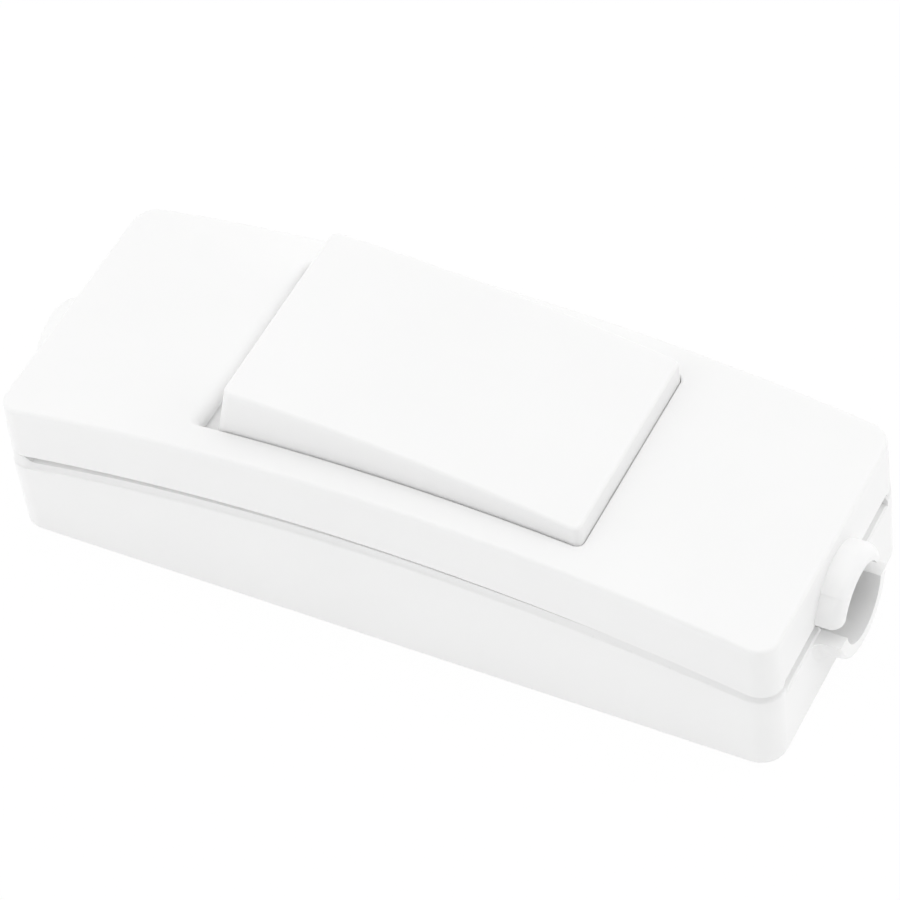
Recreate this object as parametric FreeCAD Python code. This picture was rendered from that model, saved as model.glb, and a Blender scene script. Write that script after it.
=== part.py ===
import FreeCAD, Part
import math
import os

# Inline cord switch with a large rocker, in millimetres.
# +X runs along the switch to the end that the rocker is pressed down at, +Z is up,
# and the origin is the middle of the base's underside.

V = FreeCAD.Vector
X_AXIS = V(1, 0, 0)
Y_AXIS = V(0, 1, 0)
Z_AXIS = V(0, 0, 1)

# Base shell
BASE_LENGTH = 85.0
BASE_WIDTH = 31.4
BASE_CORNER = 2.7
BASE_WALL = 1.8
FLOOR = 1.8
RIM_CROWN = 13.6
ARCH_RADIUS = 221.0
RIM_ROUND = 0.5
FOOT_BEVEL = 0.4
TONGUE_THICKNESS = 0.8
TONGUE_HEIGHT = 1.3
RIB = 1.0
ROOT_DEPTH = 0.5
END_RELIEF = 0.8
END_RELIEF_INSET = 0.4
END_RELIEF_BEVEL = 0.2
PAD_INSET = 0.35
PAD_GAP = 0.1

# Cover shell
COVER_HEIGHT = 7.05
COVER_STEP = 0.2
COVER_DRAFT = 1.5
COVER_CORNER = 2.5
COVER_WALL = 1.6
COVER_EDGE_ROUND = 0.45
COVER_FOOT_BEVEL = 0.2
ROOF = 1.8
SEAM_GAP = 0.3
TONGUE_FIT = 0.15
COVER_LIFT = 1.0
COVER_END_RISE = 0.5
OPENING_CORNER = 1.0
OPENING_ROUND = 0.5

# Cord entries
BORE_RADIUS = 4.2
COLLAR_RADIUS = 5.8
COLLAR_REACH = 2.7
COLLAR_FLARE = 1.0
COLLAR_TIP_ROUND = 0.4
COLLAR_DROP = 0.4
LEDGE_DROP = 0.6
HOOD_RADIUS = 5.7
HOOD_SHORTER = 0.25
HOOD_TIP_ROUND = 1.2
HOOD_ROOT = 0.4
HOOD_FOOT_RISE = 0.8
BAND_HEIGHT = 0.5
BAND_TIP_ROUND = 1.65
BAND_HALF_ANGLE = 41.0

# Rocker, drawn level about its own axis and then tilted
ROCKER_TOP_LENGTH = 38.14
ROCKER_WIDTH = 23.6
ROCKER_CROWN = 15.7
ROCKER_LEAN = 7.4
ROCKER_TILT = 6.7
ROCKER_AXIS_X = 0.7
ROCKER_AXIS_DROP = 4.1
ROCKER_SKIRT = 4.7
ROCKER_WALL = 1.5
ROCKER_TOP = 1.6
ROCKER_CORNER = 0.8
ROCKER_EDGE_ROUND = 0.4
ROCKER_SIDE_GAP = 0.22
ROCKER_END_GAP = 0.2
FLANGE_THICKNESS = 0.8
FLANGE_END = 1.6
FLANGE_SIDE = 1.0
FLANGE_NOTCH = 4.2
TRUNNION_RADIUS = 1.5
TRUNNION_LENGTH = 1.7
TRUNNION_FIT = 0.05
ARM_RADIUS = 2.6
LUG_HALF_LENGTH = 3.2
KEEPER_GAP = 0.1

# Click mechanism under the rocker's middle
SLEEVE_RADIUS = 3.0
PLUNGER_RADIUS = 1.8
PLUNGER_FIT = 0.1
PLUNGER_STANDOFF = 1.2
PLUNGER_TOP = 1.6
CLICK_CEILING = 8.6
SLEEVE_FOOT = 2.4
CAM_CLEARANCE = 0.1
CAM_RISE = 0.5
CAM_HALF_LENGTH = 1.3
CAM_HALF_WIDTH = 2.0

# Contact bridges, one for each pole, carried in cages under the rocker's right half
POLE_Y = 6.0
CONTACT_PITCH = 5.4
BRIDGE_X = 13.0
BRIDGE_LENGTH = 8.0
BRIDGE_WIDTH = 4.0
BRIDGE_THICKNESS = 0.8
BRIDGE_FIT = 0.2
BRIDGE_TRAVEL = 0.6
BRIDGE_STOP_GAP = 0.15
CAGE_WINDOW = 1.35
CAGE_CEILING = 4.6
STIRRUP_HALF_WIDTH = 1.0
CONTACT_RADIUS = 1.3
CONTACT_HEIGHT = 0.6
CONTACT_GAP = 0.2
PEG_RADIUS = 0.9
PEG_LENGTH = 1.6

# Springs
SPRING_WIRE = 0.4
SPRING_COIL_RADIUS = 1.35
SPRING_WIRE_SIDES = 6
CONTACT_SPRING_TURNS = 4
CLICK_SPRING_TURNS = 5
SPRING_SEAT_GAP = 0.05

# Brass terminals
TERMINAL_X = 25.2
TERMINAL_Y = POLE_Y + CONTACT_PITCH / 2
TERMINAL_LENGTH = 5.6
TERMINAL_WIDTH = 5.6
TERMINAL_HEIGHT = 6.0
TERMINAL_FOOT = 3.2
STRIP_THICKNESS = 0.8
STRIP_WIDTH = 3.0
STRIP_CORNER_X = 20.0
WIRE_HOLE_RADIUS = 1.5
WIRE_HOLE_HEIGHT = 2.6
EARTH_LENGTH = 12.0
EARTH_X = -27.5
EARTH_SCREW_PITCH = 6.0
TERMINAL_SCREW_RADIUS = 1.25
TERMINAL_HEAD_RADIUS = 2.1
TERMINAL_HEAD_HEIGHT = 1.5
TERMINAL_SCREW_BITE = 0.6
SCREW_FIT = 0.05
SCREW_HEAD_BEVEL = 0.3
SEAT_FIT = 0.15
SCREW_TIP_GAP = 0.5

# Cord clamps
CLAMP_X = 37.3
CLAMP_LENGTH = 4.6
CLAMP_THICKNESS = 1.4
CLAMP_RADIUS = 4.0
CLAMP_SCREW_Y = 8.0
CLAMP_EAR_Y = 10.2
CLAMP_SEAT_Z = 8.6
CLAMP_BOSS_RADIUS = 2.4
CLAMP_SCREW_RADIUS = 1.3
CLAMP_SCREW_LENGTH = 7.0
CLAMP_HEAD_RADIUS = 2.3
CLAMP_HEAD_HEIGHT = 1.5

# Housing screws, driven from below
HOUSING_SCREW_X = 31.8
HOUSING_SCREW_Y = 11.0
HOUSING_SCREW_RADIUS = 1.45
HOUSING_HOLE_RADIUS = 1.7
HOUSING_HEAD_RADIUS = 2.2
HOUSING_HEAD_HEIGHT = 1.5
HOUSING_RECESS = 3.5
HOUSING_RECESS_RADIUS = 2.5
HOUSING_SLEEVE_WALL = 0.9
HOUSING_PILOT_FIT = 0.12
HOUSING_BOSS_RADIUS = 2.8
HOUSING_SCREW_LENGTH = 12.5

# Worked out from the driving dimensions
BASE_HALF = (BASE_LENGTH / 2, BASE_WIDTH / 2)
COVER_HALF = (BASE_HALF[0] - COVER_STEP, BASE_HALF[1] - COVER_STEP)
SEAM_CROWN = RIM_CROWN + SEAM_GAP
COVER_CROWN = RIM_CROWN + COVER_HEIGHT
ROCKER_AXIS_Z = RIM_CROWN - ROCKER_AXIS_DROP
PLUNGER_TIP = ROCKER_AXIS_Z - FLOOR - PLUNGER_STANDOFF
INNER_HALF_WIDTH = BASE_HALF[1] - BASE_WALL
TONGUE_OUTSET = BASE_WALL - TONGUE_THICKNESS
REACH = BASE_LENGTH
PAST = 1.0
TILT_SIN = math.sin(math.radians(ROCKER_TILT))
TILT_COS = math.cos(math.radians(ROCKER_TILT))
LEAN_TAN = math.tan(math.radians(ROCKER_LEAN))


def arch_height(crown, x):
    """Height at x of an arc along X with its crown at mid length."""
    return crown - ARCH_RADIUS + math.sqrt(ARCH_RADIUS**2 - x**2)


COLLAR_Z = arch_height(RIM_CROWN, BASE_HALF[0]) - COLLAR_DROP
LEDGE_Z = COLLAR_Z - LEDGE_DROP
COVER_ANGLE = math.degrees(math.asin(COVER_LIFT / (2 * COVER_HALF[0])))
COVER_HINGE = V(COVER_HALF[0], 0, arch_height(SEAM_CROWN, COVER_HALF[0]))


def box(x0, x1, y0, y1, z0, z1):
    """A block between two corners."""
    return Part.makeBox(x1 - x0, y1 - y0, z1 - z0, V(x0, y0, z0))


def flat_bar(x0, x1, y, width, z0, z1):
    """A block that runs along X with its middle on y."""
    return box(x0, x1, y - width / 2, y + width / 2, z0, z1)


def post(radius, x, y, z0, z1):
    """An upright cylinder."""
    return Part.makeCylinder(radius, z1 - z0, V(x, y, z0), Z_AXIS)


def lying(radius, start, length, axis=X_AXIS):
    """A cylinder that lies along an axis."""
    return Part.makeCylinder(radius, length, start, axis)


def rounded_wire(half_x, half_y, radius, z):
    """A rectangle with round corners, centred on the origin."""
    px, py = half_x - radius, half_y - radius
    edges = []
    for turn, (cx, cy) in enumerate([(px, py), (-px, py), (-px, -py), (px, -py)]):
        start = 90 * turn
        centre = V(cx, cy, z)
        circle = Part.Circle(centre, Z_AXIS, radius)
        edges.append(circle.toShape(math.radians(start), math.radians(start + 90)))
    corners = []
    for i, edge in enumerate(edges):
        corners.append(edge)
        following = edges[(i + 1) % 4]
        corners.append(Part.makeLine(edge.Vertexes[-1].Point, following.Vertexes[0].Point))
    return Part.Wire(Part.__sortEdges__(corners))


def rounded_block(half, radius, z0, z1, centre_x=0.0):
    """An upright block with round vertical corners."""
    face = Part.Face(rounded_wire(half[0], half[1], radius, z0))
    block = face.extrude(V(0, 0, z1 - z0))
    block.translate(V(centre_x, 0, 0))
    return block


def drafted_block(half, radius, z_ref, z0, z1, draft):
    """A block whose sides lean in upwards; half is its size at z_ref."""
    wires = []
    for z in (z0, z1):
        inset = (z - z_ref) * math.tan(math.radians(draft))
        wires.append(rounded_wire(half[0] - inset, half[1] - inset, radius - inset, z))
    return Part.makeLoft(wires, True, True)


def under_arch(crown):
    """All that lies below an arc along X."""
    end_z = arch_height(crown, REACH)
    left = V(-REACH, -REACH, end_z)
    right = V(REACH, -REACH, end_z)
    arc = Part.Arc(left, V(0, -REACH, crown), right).toShape()
    low_left = V(-REACH, -REACH, -REACH)
    low_right = V(REACH, -REACH, -REACH)
    sides = [
        Part.makeLine(right, low_right),
        Part.makeLine(low_right, low_left),
        Part.makeLine(low_left, left),
    ]
    return Part.Face(Part.Wire([arc] + sides)).extrude(V(0, 2 * REACH, 0))


def top_face(shape):
    """The face whose centre is highest."""
    return max(shape.Faces, key=lambda face: face.CenterOfMass.z)


def bottom_face(shape):
    """The face whose centre is lowest."""
    return min(shape.Faces, key=lambda face: face.CenterOfMass.z)


def revolve_about_bore(points, arcs, side):
    """Turn an (along, out) outline about the cord entry's axis at one end.

    points are (x, radius) pairs; arcs maps the index of a point to the middle of the arc
    that runs from it to the next.
    """
    placed = [V(x, 0, COLLAR_Z + r) for x, r in points]
    edges = []
    for i, start in enumerate(placed):
        end = placed[(i + 1) % len(placed)]
        if i in arcs:
            mid = V(arcs[i][0], 0, COLLAR_Z + arcs[i][1])
            edges.append(Part.Arc(start, mid, end).toShape())
        else:
            edges.append(Part.makeLine(start, end))
    solid = Part.Face(Part.Wire(edges)).revolve(V(0, 0, COLLAR_Z), X_AXIS, 360)
    return solid if side > 0 else solid.mirror(V(0, 0, 0), X_AXIS)


def arc_middle(centre, radius, degrees):
    """The point of a small arc in the middle of its sweep."""
    angle = math.radians(degrees)
    return (centre[0] + radius * math.cos(angle), centre[1] + radius * math.sin(angle))


def cord_bore(side):
    """The way in for the cord at one end."""
    start = BASE_HALF[0] - BASE_WALL - COVER_STEP
    bore = lying(BORE_RADIUS, V(start, 0, COLLAR_Z), COLLAR_REACH + 2 * BASE_WALL)
    return bore if side > 0 else bore.mirror(V(0, 0, 0), X_AXIS)


def lower_collar(side):
    """The base's half of a cord collar, flared into the end face."""
    root = BASE_HALF[0]
    inside = root - BASE_WALL / 2
    tip = root + COLLAR_REACH
    flare = COLLAR_RADIUS + COLLAR_FLARE
    round_at = (tip - COLLAR_TIP_ROUND, COLLAR_RADIUS - COLLAR_TIP_ROUND)
    points = [
        (inside, 0),
        (inside, flare),
        (root, flare),
        (root + COLLAR_FLARE, COLLAR_RADIUS),
        (tip - COLLAR_TIP_ROUND, COLLAR_RADIUS),
        (tip, COLLAR_RADIUS - COLLAR_TIP_ROUND),
        (tip, 0),
    ]
    arcs = {
        2: arc_middle((root + COLLAR_FLARE, flare), COLLAR_FLARE, 225),
        4: arc_middle(round_at, COLLAR_TIP_ROUND, 45),
    }
    shell = revolve_about_bore(points, arcs, side)
    return shell.common(box(-REACH, REACH, -REACH, REACH, 0, LEDGE_Z))


def rounded_sleeve(root, tip, radius, tip_round, side):
    """A full round bar about the cord entry's axis with a rounded outer end."""
    points = [(root, 0), (root, radius), (tip - tip_round, radius), (tip, radius - tip_round), (tip, 0)]
    middle = arc_middle((tip - tip_round, radius - tip_round), tip_round, 45)
    return revolve_about_bore(points, {2: middle}, side)


def upper_collar(side):
    """The cover's half of a cord collar, with the raised band over its top."""
    root = COVER_HALF[0] - HOOD_ROOT
    tip = BASE_HALF[0] + COLLAR_REACH - HOOD_SHORTER
    band_radius = HOOD_RADIUS + BAND_HEIGHT
    hood = rounded_sleeve(root, tip, HOOD_RADIUS, HOOD_TIP_ROUND, side)
    band = rounded_sleeve(root, tip, band_radius, BAND_TIP_ROUND, side)
    spread = band_radius * math.tan(math.radians(BAND_HALF_ANGLE))
    wedge_points = [
        V(-REACH, 0, COLLAR_Z),
        V(-REACH, -2 * spread, COLLAR_Z + 2 * band_radius),
        V(-REACH, 2 * spread, COLLAR_Z + 2 * band_radius),
        V(-REACH, 0, COLLAR_Z),
    ]
    wedge = Part.Face(Part.makePolygon(wedge_points)).extrude(V(2 * REACH, 0, 0))
    shell = hood.fuse(band.common(wedge))
    foot = arch_height(SEAM_CROWN, COVER_HALF[0]) + HOOD_FOOT_RISE
    return shell.common(box(-REACH, REACH, -REACH, REACH, foot, 2 * COVER_CROWN))


def end_relief_half_width():
    """Half the width of the recess in the seam between an end's corners."""
    return BASE_HALF[1] - BASE_CORNER - END_RELIEF_INSET


def base_outside():
    """The base's closed outer form, with its arched rim and rounded edges."""
    body = rounded_block(BASE_HALF, BASE_CORNER, 0, RIM_CROWN + PAST).common(under_arch(RIM_CROWN))
    body = body.makeFillet(RIM_ROUND, top_face(body).Edges)
    body = body.makeChamfer(FOOT_BEVEL, bottom_face(body).Edges)
    low = arch_height(RIM_CROWN, BASE_HALF[0]) - END_RELIEF
    wall = BASE_HALF[0] - TONGUE_OUTSET
    half_y = end_relief_half_width()
    for x0, x1 in ((-REACH, -wall), (wall, REACH)):
        body = body.cut(box(x0, x1, -half_y, half_y, low, RIM_CROWN))
    rims = []
    for edge in body.Edges:
        middle = edge.BoundBox.Center
        if edge.BoundBox.XLength < SEAM_GAP and abs(abs(middle.x) - BASE_HALF[0]) < SEAM_GAP:
            if abs(middle.z - low) < SEAM_GAP and edge.BoundBox.YLength > half_y:
                rims.append(edge)
    return body.makeChamfer(END_RELIEF_BEVEL, rims)


def inset_half(half, inset):
    """A half size pair made smaller all round."""
    return (half[0] - inset, half[1] - inset)


def tongue():
    """The thin lip that stands up from the base's rim inside the cover."""
    corner = BASE_CORNER - TONGUE_OUTSET
    inner_corner = BASE_CORNER - BASE_WALL
    top = RIM_CROWN + TONGUE_HEIGHT + PAST
    ring = rounded_block(inset_half(BASE_HALF, TONGUE_OUTSET), corner, FLOOR, top)
    ring = ring.cut(rounded_block(inset_half(BASE_HALF, BASE_WALL), inner_corner, 0, top + PAST))
    return ring.common(under_arch(RIM_CROWN + TONGUE_HEIGHT))


def corner_pads():
    """The base's raised corners, just inside its outline, that close the seam under the cover's corners."""
    outer = rounded_block(inset_half(BASE_HALF, PAD_INSET), BASE_CORNER - PAD_INSET, FLOOR, COVER_CROWN)
    inner = rounded_block(inset_half(BASE_HALF, BASE_WALL), BASE_CORNER - BASE_WALL, 0, 2 * COVER_CROWN)
    ring = outer.cut(inner).common(tilt_cover(under_arch(SEAM_CROWN - PAD_GAP)))
    start = BASE_HALF[0] - BASE_CORNER
    half_y = end_relief_half_width()
    ring = ring.cut(box(-start, start, -REACH, REACH, 0, 2 * COVER_CROWN))
    return ring.cut(box(-REACH, REACH, -half_y, half_y, 0, 2 * COVER_CROWN))


def housing_screw_places():
    """Where the two housing screws stand: in opposite corners."""
    return [(HOUSING_SCREW_X, -HOUSING_SCREW_Y), (-HOUSING_SCREW_X, HOUSING_SCREW_Y)]


def clamp_screw_places():
    """Where the four clamp screws stand."""
    return [(sx * CLAMP_X, sy * CLAMP_SCREW_Y) for sx in (-1, 1) for sy in (-1, 1)]


def terminal_places():
    """Centres of the four pole terminals in plan."""
    return [(sx * TERMINAL_X, sy * TERMINAL_Y) for sx in (-1, 1) for sy in (-1, 1)]


def bearing_lugs():
    """Two open bearings on the side walls that the rocker's trunnions drop into."""
    lugs = []
    inner = ROCKER_WIDTH / 2 + ROCKER_SIDE_GAP
    slot = TRUNNION_RADIUS + TRUNNION_FIT
    for side in (-1, 1):
        y0, y1 = sorted((side * inner, side * (INNER_HALF_WIDTH + BASE_WALL / 2)))
        left = ROCKER_AXIS_X - LUG_HALF_LENGTH
        right = ROCKER_AXIS_X + LUG_HALF_LENGTH
        lug = box(left, right, y0, y1, FLOOR - ROOT_DEPTH, ROCKER_AXIS_Z + TRUNNION_RADIUS)
        end = side * (INNER_HALF_WIDTH - KEEPER_GAP)
        s0, s1 = sorted((side * (inner - PAST), end))
        slot_low = lying(slot, V(ROCKER_AXIS_X, s0, ROCKER_AXIS_Z), s1 - s0, Y_AXIS)
        slot_up = box(ROCKER_AXIS_X - slot, ROCKER_AXIS_X + slot, s0, s1, ROCKER_AXIS_Z, RIM_CROWN)
        lugs.append(lug.cut(slot_low).cut(slot_up))
    return lugs


def cam_peak():
    """Height of the click ridge, a clearance below the plunger at mid travel."""
    return ROCKER_AXIS_Z - PLUNGER_TIP - CAM_CLEARANCE


def click_ridge():
    """The small roof on the floor that the plunger rides over."""
    peak = cam_peak()
    low = peak - CAM_RISE
    x0, x1 = ROCKER_AXIS_X - CAM_HALF_LENGTH, ROCKER_AXIS_X + CAM_HALF_LENGTH
    outline = [
        V(x0, -CAM_HALF_WIDTH, FLOOR - ROOT_DEPTH),
        V(x1, -CAM_HALF_WIDTH, FLOOR - ROOT_DEPTH),
        V(x1, -CAM_HALF_WIDTH, low),
        V(ROCKER_AXIS_X, -CAM_HALF_WIDTH, peak),
        V(x0, -CAM_HALF_WIDTH, low),
        V(x0, -CAM_HALF_WIDTH, FLOOR - ROOT_DEPTH),
    ]
    return Part.Face(Part.makePolygon(outline)).extrude(V(0, 2 * CAM_HALF_WIDTH, 0))


def terminal_seats():
    """Pads, end stops and barrier walls that hold the terminals."""
    pieces = []
    half_length, half_width = TERMINAL_LENGTH / 2, TERMINAL_WIDTH / 2
    low = FLOOR - ROOT_DEPTH
    for x, y in terminal_places():
        pieces.append(flat_bar(x - half_length, x + half_length, y, TERMINAL_WIDTH, low, TERMINAL_FOOT))
        stop = x + math.copysign(half_length + SEAT_FIT, x)
        s0, s1 = sorted((stop, stop + math.copysign(RIB, x)))
        pieces.append(flat_bar(s0, s1, y, TERMINAL_WIDTH, low, TERMINAL_FOOT + RIB))
    for side_x in (-1, 1):
        for side_y in (-1, 1):
            y0 = side_y * (TERMINAL_Y - half_width - SEAT_FIT)
            b0, b1 = sorted((y0, y0 - side_y * RIB))
            near, far = TERMINAL_X - half_length, TERMINAL_X + half_length + RIB
            x0, x1 = sorted((side_x * near, side_x * far))
            pieces.append(box(x0, x1, b0, b1, low, TERMINAL_FOOT + TERMINAL_HEIGHT))
    earth = EARTH_LENGTH / 2
    pieces.append(flat_bar(EARTH_X - earth, EARTH_X + earth, 0, TERMINAL_WIDTH, low, TERMINAL_FOOT))
    return pieces


def strip_supports():
    """Ribs across the floor that the brass strips lie on."""
    pieces = []
    low = FLOOR - ROOT_DEPTH
    contact_x = fixed_contact_x()
    half_strip = STRIP_WIDTH / 2
    for side in (-1, 1):
        outer = side * TERMINAL_Y
        inner = side * (POLE_Y - CONTACT_PITCH / 2)
        for x, y in ((-TERMINAL_X / 2, outer), (contact_x, outer), (contact_x, inner)):
            pieces.append(flat_bar(x - half_strip, x + half_strip, y, STRIP_WIDTH, low, TERMINAL_FOOT))
    return pieces


def cord_saddles():
    """Cradles and screw bosses under the cord clamps."""
    pieces = []
    low = FLOOR - ROOT_DEPTH
    half = CLAMP_LENGTH / 2
    top = COLLAR_Z - CLAMP_RADIUS + 2 * RIB
    for x in (-CLAMP_X - half, -CLAMP_X + half, CLAMP_X - half, CLAMP_X + half):
        saddle = box(x - RIB / 2, x + RIB / 2, -CLAMP_SCREW_Y, CLAMP_SCREW_Y, low, top)
        pieces.append(saddle.cut(lying(CLAMP_RADIUS, V(x - RIB, 0, COLLAR_Z), 2 * RIB)))
    for x, y in clamp_screw_places():
        pieces.append(post(CLAMP_BOSS_RADIUS, x, y, low, CLAMP_SEAT_Z))
    return pieces


def screw_sleeve(x, y):
    """The base's stepped sleeve round one housing screw, joined to the side wall."""
    foot_top = HOUSING_RECESS + HOUSING_SLEEVE_WALL
    top = arch_height(RIM_CROWN, x) - RIM_ROUND
    foot = post(HOUSING_RECESS_RADIUS + HOUSING_SLEEVE_WALL, x, y, FLOOR - ROOT_DEPTH, foot_top)
    tube = post(HOUSING_HOLE_RADIUS + HOUSING_SLEEVE_WALL, x, y, FLOOR - ROOT_DEPTH, top)
    y0, y1 = sorted((y, math.copysign(INNER_HALF_WIDTH + BASE_WALL / 2, y)))
    web = box(x - RIB / 2, x + RIB / 2, y0, y1, FLOOR - ROOT_DEPTH, top)
    inside = rounded_block(inset_half(BASE_HALF, BASE_WALL / 2), BASE_CORNER - BASE_WALL / 2, 0, RIM_CROWN)
    return foot.multiFuse([tube, web]).common(inside)


def make_base():
    """The lower shell, one moulding."""
    inner_half = inset_half(BASE_HALF, BASE_WALL)
    shell = base_outside().cut(rounded_block(inner_half, BASE_CORNER - BASE_WALL, FLOOR, 2 * RIM_CROWN))
    added = [tongue(), corner_pads(), click_ridge()] + bearing_lugs() + terminal_seats()
    added += strip_supports() + cord_saddles()
    for side in (-1, 1):
        added.append(lower_collar(side))
    for x, y in housing_screw_places():
        added.append(screw_sleeve(x, y))
    shell = shell.multiFuse(added)
    holes = [cord_bore(-1), cord_bore(1)]
    for x, y in housing_screw_places():
        holes.append(post(HOUSING_HOLE_RADIUS, x, y, -PAST, RIM_CROWN))
        holes.append(post(HOUSING_RECESS_RADIUS, x, y, -PAST, HOUSING_RECESS))
    for x, y in clamp_screw_places():
        hole_low = CLAMP_SEAT_Z + CLAMP_THICKNESS - CLAMP_SCREW_LENGTH - SCREW_TIP_GAP
        holes.append(post(CLAMP_SCREW_RADIUS + SCREW_FIT, x, y, hole_low, RIM_CROWN))
    return shell.cut(Part.makeCompound(holes)).removeSplitter()


def tilt_cover(shape):
    """Lift the cover's left end off the base by turning it about its right lower edge."""
    shape.rotate(COVER_HINGE, Y_AXIS, COVER_ANGLE)
    return shape


def rocker_end_reach():
    """How far right of its axis the pressed end of the rocker reaches at the cover's top face."""
    half_top = ROCKER_TOP_LENGTH / 2
    level = arch_height(COVER_CROWN, half_top) - ROCKER_AXIS_Z
    up = (level + half_top * TILT_SIN) / TILT_COS
    along = half_top + (arch_height(ROCKER_CROWN, half_top) - up) * LEAN_TAN
    return along * TILT_COS + up * TILT_SIN


def opening_half():
    """Half size of the opening that the rocker stands in."""
    return (rocker_end_reach() + ROCKER_END_GAP, ROCKER_WIDTH / 2 + ROCKER_SIDE_GAP)


def opening_block():
    """The rocker's opening as a block through the roof, before the cover is lifted."""
    shift = (COVER_CROWN - COVER_HINGE.z) * math.sin(math.radians(COVER_ANGLE))
    centre_x = ROCKER_AXIS_X - shift
    return rounded_block(opening_half(), OPENING_CORNER, COVER_CROWN / 2, 2 * COVER_CROWN, centre_x)


def cover_outside():
    """The cover's outer form, arched above and below, with the rocker's opening through it."""
    low = arch_height(SEAM_CROWN, BASE_HALF[0]) - PAST
    body = drafted_block(COVER_HALF, COVER_CORNER, SEAM_CROWN, low, COVER_CROWN + PAST, COVER_DRAFT)
    body = body.common(under_arch(COVER_CROWN)).cut(under_arch(SEAM_CROWN))
    body = body.makeFillet(COVER_EDGE_ROUND, top_face(body).Edges)
    body = body.makeChamfer(COVER_FOOT_BEVEL, bottom_face(body).Edges)
    half_y = end_relief_half_width()
    raised = arch_height(SEAM_CROWN, COVER_HALF[0]) + COVER_END_RISE
    for x0, x1 in ((-REACH, COVER_WALL - COVER_HALF[0]), (COVER_HALF[0] - COVER_WALL, REACH)):
        body = body.cut(box(x0, x1, -half_y, half_y, 0, raised))
    body = body.cut(opening_block())
    reach = opening_half()[0] + ROCKER_AXIS_X
    rim = []
    for edge in body.Edges:
        bounds = edge.BoundBox
        if bounds.ZMin > COVER_CROWN - ROOF and max(-bounds.XMin, bounds.XMax) < reach:
            rim.append(edge)
    return body.makeFillet(OPENING_ROUND, rim)


def cover_hollow():
    """The space inside the cover, with the rebate that takes the base's tongue."""
    inner = inset_half(COVER_HALF, COVER_WALL)
    hollow = rounded_block(inner, COVER_CORNER - COVER_WALL, 0, COVER_CROWN)
    hollow = hollow.common(under_arch(COVER_CROWN - ROOF))
    rebate_half = inset_half(BASE_HALF, TONGUE_OUTSET - TONGUE_FIT)
    rebate = rounded_block(rebate_half, BASE_CORNER - TONGUE_OUTSET, 0, COVER_CROWN)
    return hollow.fuse(rebate.common(under_arch(RIM_CROWN + TONGUE_HEIGHT + SEAM_GAP + TONGUE_FIT)))


def keepers():
    """Ribs that reach down from the roof and hold the trunnions in their bearings."""
    ribs = []
    half_x = TRUNNION_RADIUS - KEEPER_GAP
    low = ROCKER_AXIS_Z + TRUNNION_RADIUS + KEEPER_GAP
    inner = ROCKER_WIDTH / 2 + ROCKER_SIDE_GAP + KEEPER_GAP
    outer = COVER_HALF[1] - COVER_WALL - 2 * KEEPER_GAP
    for side in (-1, 1):
        y0, y1 = sorted((side * inner, side * outer))
        rib = box(ROCKER_AXIS_X - half_x, ROCKER_AXIS_X + half_x, y0, y1, low, COVER_CROWN - ROOF / 2)
        ribs.append(rib)
    return ribs


def make_cover():
    """The upper shell, one moulding, as it sits on the base."""
    shell = cover_outside().cut(cover_hollow())
    added = [upper_collar(-1), upper_collar(1)] + keepers()
    for x, y in housing_screw_places():
        boss = post(HOUSING_BOSS_RADIUS, x, y, arch_height(SEAM_CROWN, x), COVER_CROWN)
        inside = inset_half(BASE_HALF, TONGUE_OUTSET + TONGUE_THICKNESS + TONGUE_FIT)
        limit = rounded_block(inside, COVER_CORNER - COVER_WALL, 0, COVER_CROWN)
        added.append(boss.common(limit).common(under_arch(COVER_CROWN - ROOF / 2)))
    shell = shell.multiFuse(added)
    holes = [cord_bore(-1), cord_bore(1)]
    pilot = HOUSING_SCREW_RADIUS + HOUSING_PILOT_FIT
    pilot_top = HOUSING_RECESS + HOUSING_SCREW_LENGTH + COVER_LIFT + SCREW_TIP_GAP
    for x, y in housing_screw_places():
        holes.append(post(pilot, x, y, 0, pilot_top))
    shell = shell.cut(Part.makeCompound(holes)).removeSplitter()
    return tilt_cover(shell)


def place_rocker(shape):
    """Move a piece from the rocker's own level frame to its pressed place."""
    shape.rotate(V(0, 0, 0), Y_AXIS, ROCKER_TILT)
    shape.translate(V(ROCKER_AXIS_X, 0, ROCKER_AXIS_Z))
    return shape


def rocker_outside():
    """The rocker's outer form: arched top, leaning ends and flat sides."""
    half_top = ROCKER_TOP_LENGTH / 2
    end_top = arch_height(ROCKER_CROWN, half_top)
    half_foot = half_top + (end_top - ROCKER_SKIRT) * LEAN_TAN
    y = -ROCKER_WIDTH / 2
    arc = Part.Arc(V(-half_top, y, end_top), V(0, y, ROCKER_CROWN), V(half_top, y, end_top)).toShape()
    sides = [
        Part.makeLine(V(half_top, y, end_top), V(half_foot, y, ROCKER_SKIRT)),
        Part.makeLine(V(half_foot, y, ROCKER_SKIRT), V(-half_foot, y, ROCKER_SKIRT)),
        Part.makeLine(V(-half_foot, y, ROCKER_SKIRT), V(-half_top, y, end_top)),
    ]
    body = Part.Face(Part.Wire([arc] + sides)).extrude(V(0, ROCKER_WIDTH, 0))
    corners = []
    for edge in body.Edges:
        ends = [vertex.Point for vertex in edge.Vertexes]
        upright = len(ends) == 2 and abs(ends[0].z - ends[1].z) > ROCKER_SKIRT
        if upright:
            corners.append(edge)
    body = body.makeFillet(ROCKER_CORNER, corners)
    return body.makeFillet(ROCKER_EDGE_ROUND, top_face(body).Edges)


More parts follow.
